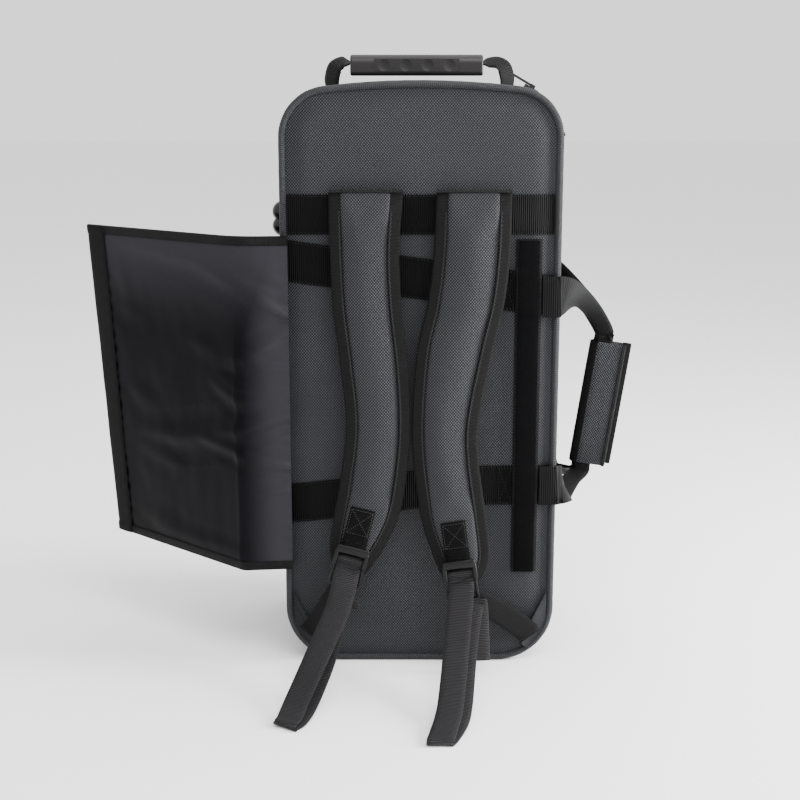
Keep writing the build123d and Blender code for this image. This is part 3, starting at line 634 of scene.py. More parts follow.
def sewn_band(name, height, width, replaced):
    """A band across the panel, whose edges lie a little lower than its middle."""
    def place(u, v):
        x = -edge_x + 2 * edge_x * u
        edge = abs(2 * v - 1)
        return on_back(x, height(x) + width * (v - 0.5), 1.6 - 0.5 * edge**6)

    def pattern(u, v):
        return 2 * edge_x * u, width * v

    cloth = on_grid((72, 10), place, pattern)
    piece = make_piece(name, cloth, black_web, "case_back", 1.3)
    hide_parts(replaced)


sewn_band("top_webbing", top_height, 38, "top_band")
sewn_band("upper_handle_webbing", upper_height, 40, "upper_handle_band")
sewn_band("lower_handle_webbing", lower_height, 40, "lower_handle_band")
print("bands sewn")

# %% [markdown]
# The upright strip of fastening pile holds the closed flap. It lies on the handle bands where it
# crosses them, so it is lifted there, and its woven selvedge shows as a flat rim round the pile.

# %% The fastening strip
def band_share(x, z, height):
    """1 where the strip crosses over a handle band, easing to 0 beside it."""
    return 1 - smooth_step((abs(z - height(x)) - 19) / 4)


def over_bands(x, z):
    """How far the strip is lifted by the bands under it."""
    return 1.7 * max(band_share(x, z, upper_height), band_share(x, z, lower_height))


def strip_up(name, left, right, low, high, lift, material, thickness):
    def place(u, v):
        x, z = left + (right - left) * v, low + (high - low) * u
        wave = 0.2 * noise.noise(Vector((z / 14, 0, 0)))
        edge = abs(2 * v - 1)
        return on_back(x, z, lift + over_bands(x, z) + wave - 0.3 * edge**4)

    def pattern(u, v):
        return (high - low) * u, (right - left) * v

    cloth = on_grid((150, 8), place, pattern)
    return make_piece(name, cloth, material, "case_back", thickness)


pile_strip = strip_up("loop_pile", 94.2, 113.8, 97.5, 430.5, 3.3, pile, 1.2)
strip_up("loop_selvedge", 91.5, 116.5, 96.5, 431.5, 1.7, binding_web, 1.0)
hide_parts("loop_strip")
print("fastening strip sewn")

# %% [markdown]
# Where two layers are sewn, the thread shows as a row of small raised stitches. Each is one little
# ball, stretched along its seam. A zigzag seam sets every other stitch at the other slant.

# %% Stitches
def smooth_path(points, steps=8):
    """A smooth curve through all the points, a Catmull-Rom spline."""
    pts = [Vector(p) for p in points]
    ends = [2 * pts[0] - pts[1]] + pts + [2 * pts[-1] - pts[-2]]
    path = []
    for a, b, c, d in zip(ends, ends[1:], ends[2:], ends[3:]):
        bend, twist = 2 * a - 5 * b + 4 * c - d, 3 * b - a - 3 * c + d
        for i in range(steps):
            t = i / steps
            path.append(0.5 * ((2 * b) + (c - a) * t + bend * t * t + twist * t**3))
    return path + [pts[-1]]


def spaced(points, pitch):
    """Points at an even pitch along a line, each with the direction there."""
    line = Loop(points)
    found, i = [], 0
    count = max(int(line.length / pitch), 1)
    for k in range(count):
        run = (k + 0.5) * line.length / count
        while line.runs[i + 1] < run:
            i += 1
        a, b = line.points[i], line.points[i + 1]
        share = (run - line.runs[i]) / max(line.runs[i + 1] - line.runs[i], 1e-6)
        found.append((a.lerp(b, share), (b - a).normalized()))
    return found


def add_ball(shape, spot, *axes):
    """A small ball at a spot, stretched along three axes."""
    stretched = Matrix(axes).transposed().to_4x4()
    place = Matrix.Translation(spot * MM) @ stretched @ Matrix.Scale(MM, 4)
    bmesh.ops.create_icosphere(shape, subdivisions=1, radius=1.0, matrix=place)


def stitches(name, seams, body, material=thread, pitch=3.2, size=(1.1, 0.42, 0.34),
             face=(0, -1, 0), slant=0.0):
    """Rows of stitches along seams: size is half a stitch's length, width and height, face is
    the side that they show on, and slant turns every other one for a zigzag, in radians."""
    shape = bmesh.new()
    out = Vector(face)
    for seam in seams:
        for i, (spot, along) in enumerate(spaced(seam, pitch)):
            side = out.cross(along).normalized()
            turn = slant if i % 2 else -slant
            run = (along * cos(turn) + side * sin(turn)).normalized()
            add_ball(shape, spot, run * size[0], out.cross(run) * size[1], out * size[2])
    make_piece(name, shape, material, body, turn=False)


def crossed_box(corners):
    """A box with a cross in it, the strongest way to sew webbing down."""
    return [corners + corners[:1], [corners[0], corners[2]], [corners[1], corners[3]]]


seams = []
for height in (upper_height, lower_height):
    corners = ((78, -17.5), (90, -17.5), (90, 17.5), (78, 17.5))
    seams += crossed_box([on_back(x, height(x) + off, 1.9) for x, off in corners])
for height, width in ((top_height, 38), (upper_height, 40), (lower_height, 40)):
    for off in (1.6 - width / 2, width / 2 - 1.6):
        steps = [-edge_x + i * 8 for i in range(32)]
        seams.append([on_back(x, height(x) + off, 1.55) for x in steps])
for x in (93.0, 115.0):
    steps = [98 + i * 6.6 for i in range(51)]
    seams.append([on_back(x, z, 2.2 + over_bands(x, z)) for z in steps])
stitches("panel_stitches", seams, "case_back")

# %% [markdown]
# The lower corners carry a patch of the case's own cloth, folded under at its edge and sewn with a
# zigzag. The straps' anchor webbing comes out from under each patch.

# %% Corner patches
# A patch's inner edge runs down to a corner and back out, and its outer one follows the piping
(x_high, z_high), (x_mid, z_mid), (x_low, z_low) = (128.2, 75.5), (102.0, 23.0), (109.0, 12.0)
piping_inset = 3.9


def patch_inner(z):
    if z > z_mid:
        return x_high + (x_mid - x_high) * (z_high - z) / (z_high - z_mid)
    return x_mid + (x_low - x_mid) * (z_mid - z) / (z_mid - z_low)


def patch_outer(z):
    if z > corner_base:
        return half - piping_inset
    return half - corner_base + sqrt((corner_base - piping_inset) ** 2 - (corner_base - z) ** 2)


def patch(name, side, replaced):
    def place(u, v):
        z = z_low + (z_high - z_low) * u
        x_in, x_out = patch_inner(z), patch_outer(z)
        x = x_in + (max(x_out, x_in + 0.2) - x_in) * v
        folded = 0.9 * (1 - smooth_step(v * (x_out - x_in) / 7 - 0.4))
        return on_back(side * x, z, 1.5 + folded)

    def pattern(u, v):
        return 40 * v + 22 * u, (z_high - z_low) * u

    cloth = on_grid((26, 14), place, pattern)
    piece = make_piece(name, cloth, case_cloth, "case_back", 1.2)
    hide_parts(replaced)
    zigzag = [on_back(side * (patch_inner(z) + 5), z, 2.3) for z in range(16, 66, 3)]
    stitches(name + "_stitches", [zigzag], "case_back", pitch=1.9,
             size=(1.5, 0.4, 0.35), slant=0.9)


patch("patch_left", -1, "corner_patch_left")
patch("patch_right", 1, "corner_patch_right")
print("patches sewn")

# %% [markdown]
# All loose webbing is made by one helper. It takes the middle line, and the direction of the
# webbing's width at each point, and wraps a flat, soft-edged section round it.

# %% Webbing that leaves the panel
# Round the section, as shares of half the width and half the thickness
face_side = [(-0.96, 0.7), (-0.6, 1), (0, 1), (0.6, 1), (0.96, 0.7), (1, 0)]
section = face_side + [(-a, -h) for a, h in face_side]
corners_round = len(section)


def eased(size, steps, count):
    """A width or thickness at each point of a path, from one number or one for each given point."""
    if not isinstance(size, list):
        return [size] * count
    return [spot.x for spot in smooth_path([(part, 0, 0) for part in size], steps)]


def ribbon_mesh(points, across, width, thick, steps=8):
    path = smooth_path(points, steps)
    sides = smooth_path(across, steps)
    widths, depths = (eased(size, steps, len(path)) for size in (width, thick))
    runs = Loop(path).runs
    last = len(path) - 1
    breadth = max(width) if isinstance(width, list) else width

    def place(u, v):
        i = round(u * last)
        ahead = (path[min(i + 1, last)] - path[max(i - 1, 0)]).normalized()
        side = (sides[i] - ahead * sides[i].dot(ahead)).normalized()
        out = side.cross(ahead)
        a, h = section[round(v * corners_round) % corners_round]
        return path[i] + side * a * (widths[i] / 2) + out * (h * (depths[i] / 2))

    def pattern(u, v):
        a, _ = section[round(v * corners_round) % corners_round]
        return runs[round(u * last)], breadth / 2 * (1 + a)

    shape = on_grid((last, corners_round), place, pattern, weld=True)
    bmesh.ops.holes_fill(shape, edges=[edge for edge in shape.edges if edge.is_boundary])
    return shape, runs[-1]


def ribbon(name, points, across, width, thick, body, replaced=(), material=black_web,
           steps=8):
    """A piece of webbing with its real length."""
    shape, length = ribbon_mesh(points, across, width, thick, steps)
    piece = make_piece(name, shape, material, body, sharp=70)
    if replaced:
        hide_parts(*replaced)
    return piece, length


# %% [markdown]
# The hinge side has a strip of webbing sewn to each half, with a flexing strip between them,
# and two pairs of round rubber bumpers, which stay as they were measured.

# %% Hinge side
hinge_foot, hinge_top = 84, 505
flex_x, flex_depth, flex_width = -138.2, 17, 9.7


def hinge_tape(name, start, end, body, replaced):
    heights = (hinge_foot, 150, 220, 294, 370, 440, hinge_top)
    points = [(-135.4, (start + end) / 2, z) for z in heights]
    ribbon(name, points, [(0, 1, 0)] * 7, end - start, 5.6, body, [replaced])


hinge_tape("hinge_tape_back", -59, 12, "case_back", "hinge_strip_back")
hinge_tape("hinge_tape_lid", 22, 84.5, "lid", "hinge_strip_lid")
points = [(flex_x, flex_depth, z) for z in (hinge_foot, 200, 400, hinge_top)]
flex, _ = ribbon("hinge_flex", points, [(0, 1, 0)] * 4, flex_width, 1.1, None, ["hinge_fabric"])
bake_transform(flex)


def finish_solid(node, material):
    mesh = solids[node].data
    mesh.materials.clear()
    mesh.materials.append(material)


for node in ("back_foot_upper", "back_foot_lower", "lid_foot_upper", "lid_foot_lower"):
    finish_solid(node, bumper_rubber)
print("hinge side done")

# %% [markdown]
# The zipper runs from one end of the hinge round the case to the other. Its two tapes nearly meet,
# and a coil of nylon teeth is sewn along each. Nothing of it may go below the floor, so the lowest
# part of each line is lifted. The two sliders at the upper right corner stay as they were measured.

# %% Zipper
zip_end_low, zip_end_high, zip_end_x = 60, 400, -92


def zip_run(inset):
    """The part of the outline that the zipper follows, from the hinge's foot round to its top."""
    ring, whole = outline(inset)[:-1], outline(0.0)[:-1]
    low, high = [], []
    for i, (x, z) in enumerate(whole):
        left = i > len(whole) / 2
        if left and z < zip_end_low and x > zip_end_x:
            low.append(ring[i])
        elif not left or (z > zip_end_high and x > zip_end_x):
            high.append(ring[i])
    return low + high


def zip_line(inset, depth, floor_gap):
    """A line along the zipper at one depth, kept off the floor."""
    return [(x, depth, max(z, floor_gap)) for x, z in zip_run(inset)]


def zip_beads(name, line, pitch, size, material, body):
    """Teeth or stitches along the zipper. Size is half their length, depth and height."""
    shape = bmesh.new()
    for spot, along in spaced(line, pitch):
        out = Vector((along.z, 0, -along.x))
        add_ball(shape, spot, along * size[0], Vector((0, size[1], 0)), out * size[2])
    make_piece(name, shape, material, body, turn=False)


def zip_tape(name, turn, body, replaced):
    edge = mouth + turn * 0.25
    rows = [(0.6, 8.4), (-0.4, 8.2), (-1.1, 7.0), (-1.6, 2.2)]
    rows += [(-2.0, 1.2), (-2.0, 0.35), (0.6, 0.2)]
    lines = [zip_line(inset, edge + turn * off, 0.1) for inset, off in rows]
    runs = Loop(zip_run(rows[0][0])).runs
    last, rim = len(lines[0]) - 1, len(rows) - 1

    def place(u, v):
        return lines[round(v * rim)][round(u * last)]

    def pattern(u, v):
        return runs[round(u * last)], rows[round(v * rim)][1]

    shape = on_grid((last, rim), place, pattern)
    piece = make_piece(name, shape, binding_web, body, sharp=60)
    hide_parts(replaced)
    teeth, seam = zip_line(-2.2, edge + turn * 0.75, 0.9), zip_line(-1.35, edge + turn * 6.0, 0.5)
    zip_beads(name + "_coil", teeth, 2.0, (0.55, 1.05, 0.8), coil, body)
    zip_beads(name + "_stitches", seam, 3.4, (1.1, 0.35, 0.3), thread, body)


zip_tape("zipper_tape_back", -1, "case_back", "back_zipper_tape")
zip_tape("zipper_tape_lid", 1, "lid", "lid_zipper_tape")
for node in ("slider_low", "slider_high", "pull_low", "pull_high", "pocket_slider"):
    finish_solid(node, lacquer)
print("zipper done")

# %% [markdown]
# The shoulder straps hang from the top band and lean out a little at the foot. Everything on them
# is drawn in their own plane: across, down the strap, and out from it.

# %% The straps' plane
lean_out = 18.0 / 388.0  # how far a strap leans out for its length
lean_length = sqrt(1 + lean_out**2)
up_axis = Vector((0, lean_out, 1)) / lean_length
out_axis = Vector((0, -1, lean_out)) / lean_length
strap_origin = Vector((0, -97.05, 478.0))


def on_strap(x, s, out):
    """A point of a strap: across the case, along the strap (minus is down) and out of its plane."""
    return strap_origin + Vector((x, 0, 0)) + up_axis * s + out_axis * out


# Each pad's left and right edge, as (x, s) from its top to the tip, where the two edges meet
pad_edges = {
    "left": (
        [(-88, 0), (-87, -58), (-84.5, -110), (-78, -165), (-72.5, -225),
         (-78.5, -280), (-86.5, -325), (-89.5, -350), (-84, -374), (-70, -382)],
        [(-17, 0), (-20.5, -58), (-18.5, -110), (-12.5, -165), (-9.5, -225),
         (-13, -273), (-21, -317), (-36, -350), (-54, -375), (-70, -382)],
    ),
    "right": (
        [(14.5, 0), (12.2, -58), (6.5, -106), (-3.7, -154), (-8.4, -222),
         (-6.4, -268), (1, -320), (10, -350), (23, -380), (40, -389)],
        [(86.5, 0), (85.1, -58), (80.2, -106), (69.4, -154), (56.6, -222),
         (56.9, -262), (64, -313), (68.5, -360), (58, -384), (40, -389)],
    ),
}


def pad_border(which):
    """The pad's outline from the top of its left edge, round the end, to the top of its right."""
    left, right = pad_edges[which]
    points = [(x, s, 0) for x, s in left] + [(x, s, 0) for x, s in reversed(right[:-1])]
    return [spot for spot, _ in spaced(smooth_path(points, 12), 3.0)]


def border_sides(border):
    """For each point of a border, the direction into the pad."""
    sides = []
    for i in range(len(border)):
        ahead = (border[min(i + 1, len(border) - 1)] - border[max(i - 1, 0)]).normalized()
        sides.append(Vector((-ahead.y, ahead.x, 0)))
    return sides


# %% [markdown]
# A pad is a foam core under cloth, with a wide binding tape folded round its edge. The tape's
# section goes from the pad's back round its edge to its face, where a zigzag holds it. At the top,
# the pad is sewn under the top band, so it is squeezed flatter there.

# %% The pads' binding
# The tape's section: how far in from the pad's edge, and how far out from its back
tape_section = [
    (11.6, 0.3), (6, 0.3), (2.2, 0.35), (0.6, 1.2), (0, 3.0), (0, 5.4),
    (0.7, 7.0), (2.4, 7.9), (6, 8.1), (10.2, 8.5), (11.5, 8.6), (11.9, 7.9),
]
pad_gap = 0.3  # the pads lie this far off their plane


def sewn_flat(s):
    """How much of a pad's thickness is left near its sewn top."""
    return 1 - 0.45 * (1 - smooth_step(-s / 16))


def strap_binding(which):
    border = pad_border(which)
    sides = border_sides(border)
    runs = Loop([(p.x, p.y) for p in border]).runs
    last, rim = len(border) - 1, len(tape_section) - 1

    def place(u, v):
        i, k = round(u * last), round(v * rim)
        inset, out = tape_section[k]
        puckered = 0.18 * sin(runs[i] / 1.7) * (k >= rim - 2)
        spot = border[i] + sides[i] * (inset + puckered)
        out = (out + 0.15 * noise.noise(spot / 9)) * sewn_flat(spot.y)
        return on_strap(spot.x, min(spot.y, -0.2), pad_gap + out)

    def pattern(u, v):
        return runs[round(u * last)], 2.5 * round(v * rim)

    def seam(inset, out):
        spots = [p + d * inset for p, d in zip(border[6:-6], sides[6:-6])]
        return [on_strap(spot.x, spot.y, pad_gap + out) for spot in spots]

    body, slot = "strap_" + which, "pad_binding_cloth"
    cloth = on_grid((last, rim), place, pattern)
    piece = make_piece("binding_" + which, cloth, binding_web, body, sharp=60)
    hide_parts("pad_binding_" + which)
    zigzag, straight = (1.35, 0.36, 0.3), (1.05, 0.34, 0.28)
    stitches("binding_zigzag_" + which, [seam(9.9, 8.75)], body, grey_thread, 1.9, zigzag,
             out_axis, 0.85)
    stitches("binding_seam_" + which, [seam(1.8, 7.75)], body, thread, 3.0, straight,
             out_axis)


# %% [markdown]
# The foam pushes its cloth out evenly, which Blender's cloth simulation shows with a pressure from
# inside. Twenty frames are enough, as the cloth starts close to its place. Points at the pad's
# edge, ends and back are held, and the result is kept in the mesh, so the piece doesn't move
# afterwards.

# %% Stuffing a pad
pressure, moments = 4.0, 20
pad_height, most_swell = 9.9, 3.0
free_top, free_foot, free_ease = 18, 318, 30  # a pad is free between these lengths down the strap


def between_ends(s):
    """1 along a pad's free length, easing to 0 near its sewn top and near its tip."""
    return smooth_step((-s - free_top) / free_ease) * smooth_step((s + free_foot) / free_ease)


def pad_freedom(place):
    """How far a pad's cloth may swell: most on its crown, nothing at its edge, ends or back."""
    from_top = place - strap_origin
    s, out = from_top.dot(up_axis), from_top.dot(out_axis)
    return most_swell * smooth_step((out - 4) / 4) * between_ends(s)


def swell(piece, allowed):
    """Stuffs a pad: its cloth swells under pressure, as far as each point is allowed to."""
    start = [point.co.copy() for point in piece.data.vertices]
    limits = [allowed(place / MM) for place in start]
    held = piece.vertex_groups.new(name="held")
    held.add([i for i, limit in enumerate(limits) if limit < 0.05], 1.0, "REPLACE")
    cloth = piece.modifiers.new("stuffing", "CLOTH")
    cloth.settings.use_pressure = True
    cloth.settings.uniform_pressure_force = pressure
    cloth.settings.effector_weights.gravity = 0.0
    cloth.settings.vertex_group_mass = "held"
    for moment in range(1, moments + 1):
        bpy.context.scene.frame_set(moment)
    settle(piece)
    bpy.context.scene.frame_set(1)
    for point, first, limit in zip(piece.data.vertices, start, limits):
        moved = point.co - first
        if moved.length > limit * MM:
            moved *= limit * MM / moved.length
        point.co = first + moved
    piece.vertex_groups.clear()
    print(piece.name, "stuffed")


# %% [markdown]
# The core is drawn as rows across the strap, over its face and back under it. It rises from the
# binding to a crown that is nearly flat.

# %% The strap pads
def pad_side(which, side):
    return smooth_path(pad_edges[which][side], 12)


def across_at(edge, s):
    """Where an edge of the pad lies across, at a distance along the strap."""
    for a, b in zip(edge, edge[1:]):
        if b.y <= s:
            return a.x + (b.x - a.x) * (a.y - s) / max(a.y - b.y, 1e-6)
    return edge[-1].x


def strap_core(which):
    flatter = 0.14
    left, right = pad_side(which, 0), pad_side(which, 1)
    border = [Vector((p.x, p.y)) for p in pad_border(which)]
    tip = left[-1].y + 1.5

    def place(u, v):
        s = -0.3 + (tip + 0.3) * u
        x0, x1 = across_at(left, s), across_at(right, s)
        front = v <= 0.5
        share = 2 * v if front else 2 - 2 * v
        spot = Vector((x0 + (x1 - x0) * (0.03 + 0.94 * share), s))
        inset = min((spot - p).length for p in border)
        out = 0.5
        if front:
            out += pad_height * smooth_step(inset / 15) - 1.1 * (1 - smooth_step(inset / 26))
        out += 0.4 * noise.noise(Vector((spot.x / 23, s / 30, 0))) * smooth_step((inset - 11) / 8)
        out = max(out, 0.5)
        if 0.04 < share < 0.96:
            out *= sewn_flat(s) - flatter * between_ends(s)
        return on_strap(spot.x, spot.y, pad_gap + out)

    cloth = on_grid((96, 48), place, lambda u, v: (400 * u, 140 * v), weld=True)
    bmesh.ops.holes_fill(cloth, edges=[edge for edge in cloth.edges if edge.is_boundary])
    piece = make_piece("pad_" + which, cloth, pad_cloth, "strap_" + which, sharp=80)
    swell(piece, pad_freedom)
    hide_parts("strap_pad_" + which)


def top_fold(which):
    """The folded tape across a strap's sewn top."""
    (x0, _), (x1, _) = (edge[0] for edge in pad_edges[which])
    points = [on_strap(x0 + (x1 - x0) * i / 6, -1.0, 3.6) for i in range(7)]
    ribbon("strap_top_fold_" + which, points, [out_axis] * 7, 6.8, 2.6, "strap_" + which,
           material=binding_web)


for which in ("left", "right"):
    strap_binding(which)
    strap_core(which)
    top_fold(which)
print("straps padded and bound")

# %% [markdown]
# A ladder-lock buckle holds each strap's end. Its upper bar sits in a sewn tab, the webbing's tail
# rolls over its middle bar, and a flared lip at its foot carries the anchor webbing.

# %% Buckles
buckle_out = 14.0  # how far the buckles stand out from the straps' plane


def strap_frame(x, s, turn):
    """The matrix of a buckle's own plane: x along its bars, y up the strap, z out."""
    place = on_strap(x, s, buckle_out)
    basis = Matrix(((1, 0, 0), tuple(up_axis), tuple(out_axis))).transposed().to_4x4()
    return Matrix.Translation(place) @ basis @ Matrix.Rotation(radians(turn), 4, "Z")


frames = {"left": strap_frame(-66.6, -350, -14.5), "right": strap_frame(37.7, -364, 8)}
middle_bar = 9.5  # how far the bar that holds the tail lies below the upper one


def blocks(shape, *parts):
    """Rounded blocks added to a shape: each is its centre, its size and its rounding."""
    for centre, size, bevel in parts:
        place = Matrix.Translation(centre) @ Matrix.Diagonal((*size, 1))
        grown = bmesh.ops.create_cube(shape, size=1.0, matrix=place)
        edges = list(dict.fromkeys(edge for corner in grown["verts"] for edge in corner.link_edges))
        bmesh.ops.bevel(shape, geom=edges, offset=bevel, segments=3, profile=0.5,
                        affect="EDGES", material=-1)


def rod(shape, start, end, radius):
    """A round bar added to a shape."""
    start, end = Vector(start), Vector(end)
    turn = (end - start).to_track_quat("Z", "X").to_matrix().to_4x4()
    place = Matrix.Translation((start + end) / 2) @ turn
    bmesh.ops.create_cone(shape, cap_ends=True, segments=16, radius1=radius, radius2=radius,
                          depth=(end - start).length, matrix=place)


def make_buckle(which):
    shape = bmesh.new()
    front_plate = ((0, 0.8, 3.9), (31.8, 8.2, 3.0), 1.3)
    arms = [((side * 14.5, -17, 0), (3.4, 35.5, 4.4), 1.2) for side in (-1, 1)]
    shoulders = [((side * 14.8, -7.5, 2.2), (4.8, 18.0, 6.0), 1.9) for side in (-1, 1)]
    foot = ((0, -34.0, -0.4), (31.6, 5.6, 3.2), 1.2)
    lip = ((0, -36.6, 0.7), (29.0, 2.2, 2.4), 0.9)
    blocks(shape, front_plate, *arms, *shoulders, foot, lip)
    for drop, radius in ((0, 1.6), (middle_bar, 2.2)):
        rod(shape, (-13, -drop, 0), (13, -drop, 0), radius)
    pip = Matrix.Translation((6, 1.0, 4.8))
    bmesh.ops.create_icosphere(shape, subdivisions=2, radius=1.0, matrix=pip)
    bmesh.ops.transform(shape, matrix=Matrix.Scale(MM, 4) @ frames[which], verts=shape.verts)
    piece = make_piece("ladder_buckle_" + which, shape, buckle_plastic,
                       "strap_end_" + which, sharp=40)
    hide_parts("buckle_" + which)


# %% [markdown]
# Each buckle hangs on a tab, a folded piece of webbing round the buckle's upper bar. It is sewn to
# the pad with a crossed box, like all webbing that carries load. Its points are given in the
# buckle's own plane.

# %% The buckles on their tabs
def local(frame, *points):
    """Points of a tilted piece's own plane, as points of the case."""
    return [tuple(frame @ Vector(point)) for point in points]


def bar_axis(frame):
    return tuple(frame.to_3x3() @ Vector((1, 0, 0)))


def roll(frame, drop, radius, start, end, count):
    """Points round a bar, from one angle to another, seen from the bar's right end."""
    angles = [radians(start + (end - start) * i / count) for i in range(count + 1)]
    return local(frame, *[(0, -drop + radius * cos(a), radius * sin(a)) for a in angles])


for which, frame in frames.items():
    make_buckle(which)
    points = local(frame, (0, 43, -2.5), (0, 33, -2.7), (0, 22, -2.8), (0, 12, -2.2), (0, 5.5, 0.4))
    points += roll(frame, 0, 2.9, 60, -110, 5) + local(frame, (0, 4, -3.6), (0, 9, -3.9))
    sides, body = [bar_axis(frame)] * len(points), "strap_" + which
    ribbon("tab_" + which, points, sides, 24.4, 1.4, body, ["strap_tab_" + which], tab_web)
    high, low = (40.6, -1.5), (16.6, -1.6)
    corners = local(frame, (-10.6, *high), (10.6, *high), (10.6, *low), (-10.6, *low))
    stitches("tab_stitches_" + which, crossed_box(corners), body, grey_thread, 2.4,
             (0.85, 0.33, 0.3), out_axis)
print("tabs sewn")

# %% [markdown]
# The tails are doubled back and lie with a fold on the floor. Each comes up behind its buckle once
# more, and its end hangs down there, a short one on the left and a long one on the right. The
# points run down the front ply, round the fold on the floor, up the returning ply and down again.

# %% Webbing tails
web_width, web_thickness = 24.8, 1.45

# Points from the buckle to the floor, round the fold and back. The last row is the direction of
# the webbing's width where it hangs, where it lies, and at its end.
routes = {
    "left": (
        [
            (-80, -148, 79), (-92.5, -172, 55), (-106, -198, 31),
            (-116.5, -223, 14), (-121.5, -242, 7),
        ],
        [(-124.4, -250, 5.6), (-125.4, -253, 3.3), (-124.2, -250, 1.3)],
        [
            (-117, -240, 1.9), (-108.5, -214, 7), (-98.5, -186, 23), (-92, -168, 38),
            (-86, -150, 59), (-80, -141, 75), (-76.5, -136, 81), (-73, -132, 78), (-71, -131, 69),
        ],
        ((0.95, -0.1, -0.25), (0.82, -0.57, 0), (0.95, -0.2, -0.1)),
    ),
    "right": (
        [(38, -152, 73), (34, -180, 50), (30, -212, 29), (25.5, -245, 14), (19, -274, 7.2)],
        [(16.4, -285, 5.6), (16, -288.4, 3.3), (16.4, -285, 1.2)],
        [
            (22, -272, 1.6), (31, -250, 6), (35, -232, 13), (38, -208, 24),
            (41, -182, 38), (45, -156, 57), (49, -142, 74), (51.5, -135, 81),
            (54, -130, 76), (55.5, -128, 62), (56.5, -129, 38), (57.5, -130, 15),
        ],
        ((1, 0, 0.1), (1, 0, 0), (1, 0, -0.1)),
    ),
}
for which, (route, fold, back, turns) in routes.items():
    frame = frames[which]
    over = roll(frame, middle_bar, 3.7, -75, 120, 8)
    over += local(frame, (0, -15.3, 1.7), (0, -20.8, 3.15))
    hang, lie, end = (Vector(turn) for turn in turns)
    middle, rest = len(route) + 1, len(fold) + len(back) - 1
    across = [bar_axis(frame)] * len(over)
    across += [hang.lerp(lie, i / middle) for i in range(1, len(route) + 1)]
    across += [lie.lerp(end, i / rest) for i in range(rest + 1)]
    piece, length = ribbon(
        "tail_" + which, over + route + fold + back, across, web_width, web_thickness,
        "strap_end_" + which, ["strap_tail_" + which], tail_web)
    print("tail", which, round(length), "mm")

# %% [markdown]
# The anchor webbing comes out from under each corner patch, turns, and ends round the buckle's
# foot.
# It rides on no body, so it stays where it is made.

# %% Anchor webbing
anchors = {"left": (-1, (-90, -113, 66), 38), "right": (1, (78, -110, 60), 36)}
for which, (side, bend, height) in anchors.items():
    frame = frames[which]
    points = [(side * 112, -98.2, height - 8), (side * 106, -100.15, height), bend]
    points += local(frame, (0, -33, -4.8), (0, -26.5, -4.2))
    across = [(0.5, 0, side * 0.83), (0.55, 0, side * 0.8), (0.6, 0.1, side * 0.75)]
    across += [bar_axis(frame)] * 2
    piece, _ = ribbon("anchor_" + which, points, across, 24.6, 1.4, None,
                      ["anchor_webbing_" + which], anchor_web, steps=12)
    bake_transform(piece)
print("buckles threaded")

# %% [markdown]
# The storage flap is stiff card between two cloths, sewn to the case's left seam and creased along
# two upright folds. Its lining is a thin nylon that wrinkles out from the seam. Each wrinkle is a
# soft ridge with a shallow valley on both sides, along a line that starts at the seam or in the
# cloth. It rises and fades along its line, and stays strong where the line ends at the seam.

# %% The flap's wrinkles
# The flap from above: its seam, its two folds and its edge, with the way along it to each
flap_corners = [
    Vector((-128, -97.3)), Vector((-175.71, -102.567)),
    Vector((-296.232, -6.7)), Vector((-335.362, 24.426)),
]
flap_marks = [0.0, 48.0, 202.0, 252.0]
flap_low, flap_high = 100.0, 435.0
flap_height = flap_high - flap_low

# Each ridge has its height, its width, and its line as (way from the seam, height over the floor)
ridges = [
    (1.5, 9, [(229, 423), (104, 410), (58, 392), (32, 381), (0, 357)]),
    (0.9, 4, [(27, 384), (13.5, 380), (0, 377)]), (1.1, 5, [(60, 383), (21, 367), (0, 357)]),
    (1.6, 7, [(74, 311), (38, 319), (22, 328), (0, 345)]),
    (1.2, 5, [(52, 317), (17, 307), (0, 306)]),
    (1.5, 8, [(97, 295), (49, 277), (12, 258)]), (1.0, 5, [(85, 300), (41, 287), (14, 276)]),
    (2.2, 10, [(222, 221.5), (141, 224), (91, 234), (40, 248), (0, 261)]),
    (1.3, 6, [(120, 232), (57, 223), (32, 212), (0, 206)]),
    (0.9, 5, [(34, 178), (10, 184), (0, 190)]),
    (0.6, 9, [(226, 354), (205.5, 351), (167, 344)]), (0.6, 10, [(216, 268), (160, 251)]),
    (0.7, 9, [(218, 208), (168, 203), (119, 190)]), (0.6, 9, [(216, 132), (183, 126), (126, 128)]),
    (0.7, 7, [(204, 118), (89, 119), (6.5, 117)]), (0.5, 8, [(124, 330), (66, 318)]),
    (0.6, 9, [(216, 410), (206, 380), (198, 355)]), (0.8, 4, [(26, 394), (0, 391)]),
]


def nearest(point, line):
    """How far a point lies from a broken line, and what share of the line is before that spot."""
    best, gone = (1000.0, 0.0), 0.0
    for a, b in zip(line, line[1:]):
        run = b - a
        share = min(max((point - a).dot(run) / run.dot(run), 0), 1)
        off = (point - a - run * share).length
        if off < best[0]:
            best = (off, gone + run.length * share)
        gone += run.length
    return best[0], best[1] / gone


ridge_lines = [(height, width, [Vector(p) for p in line]) for height, width, line in ridges]
ridge_strength, fade_share = 1.4, 0.45


def bell(distance):
    """1 in the middle, and nearly 0 from two widths away."""
    return 2.7 ** -(distance * distance)


def wavering(*spot):
    """Smooth noise between -1 and 1 at a spot."""
    return noise.noise(Vector(spot))


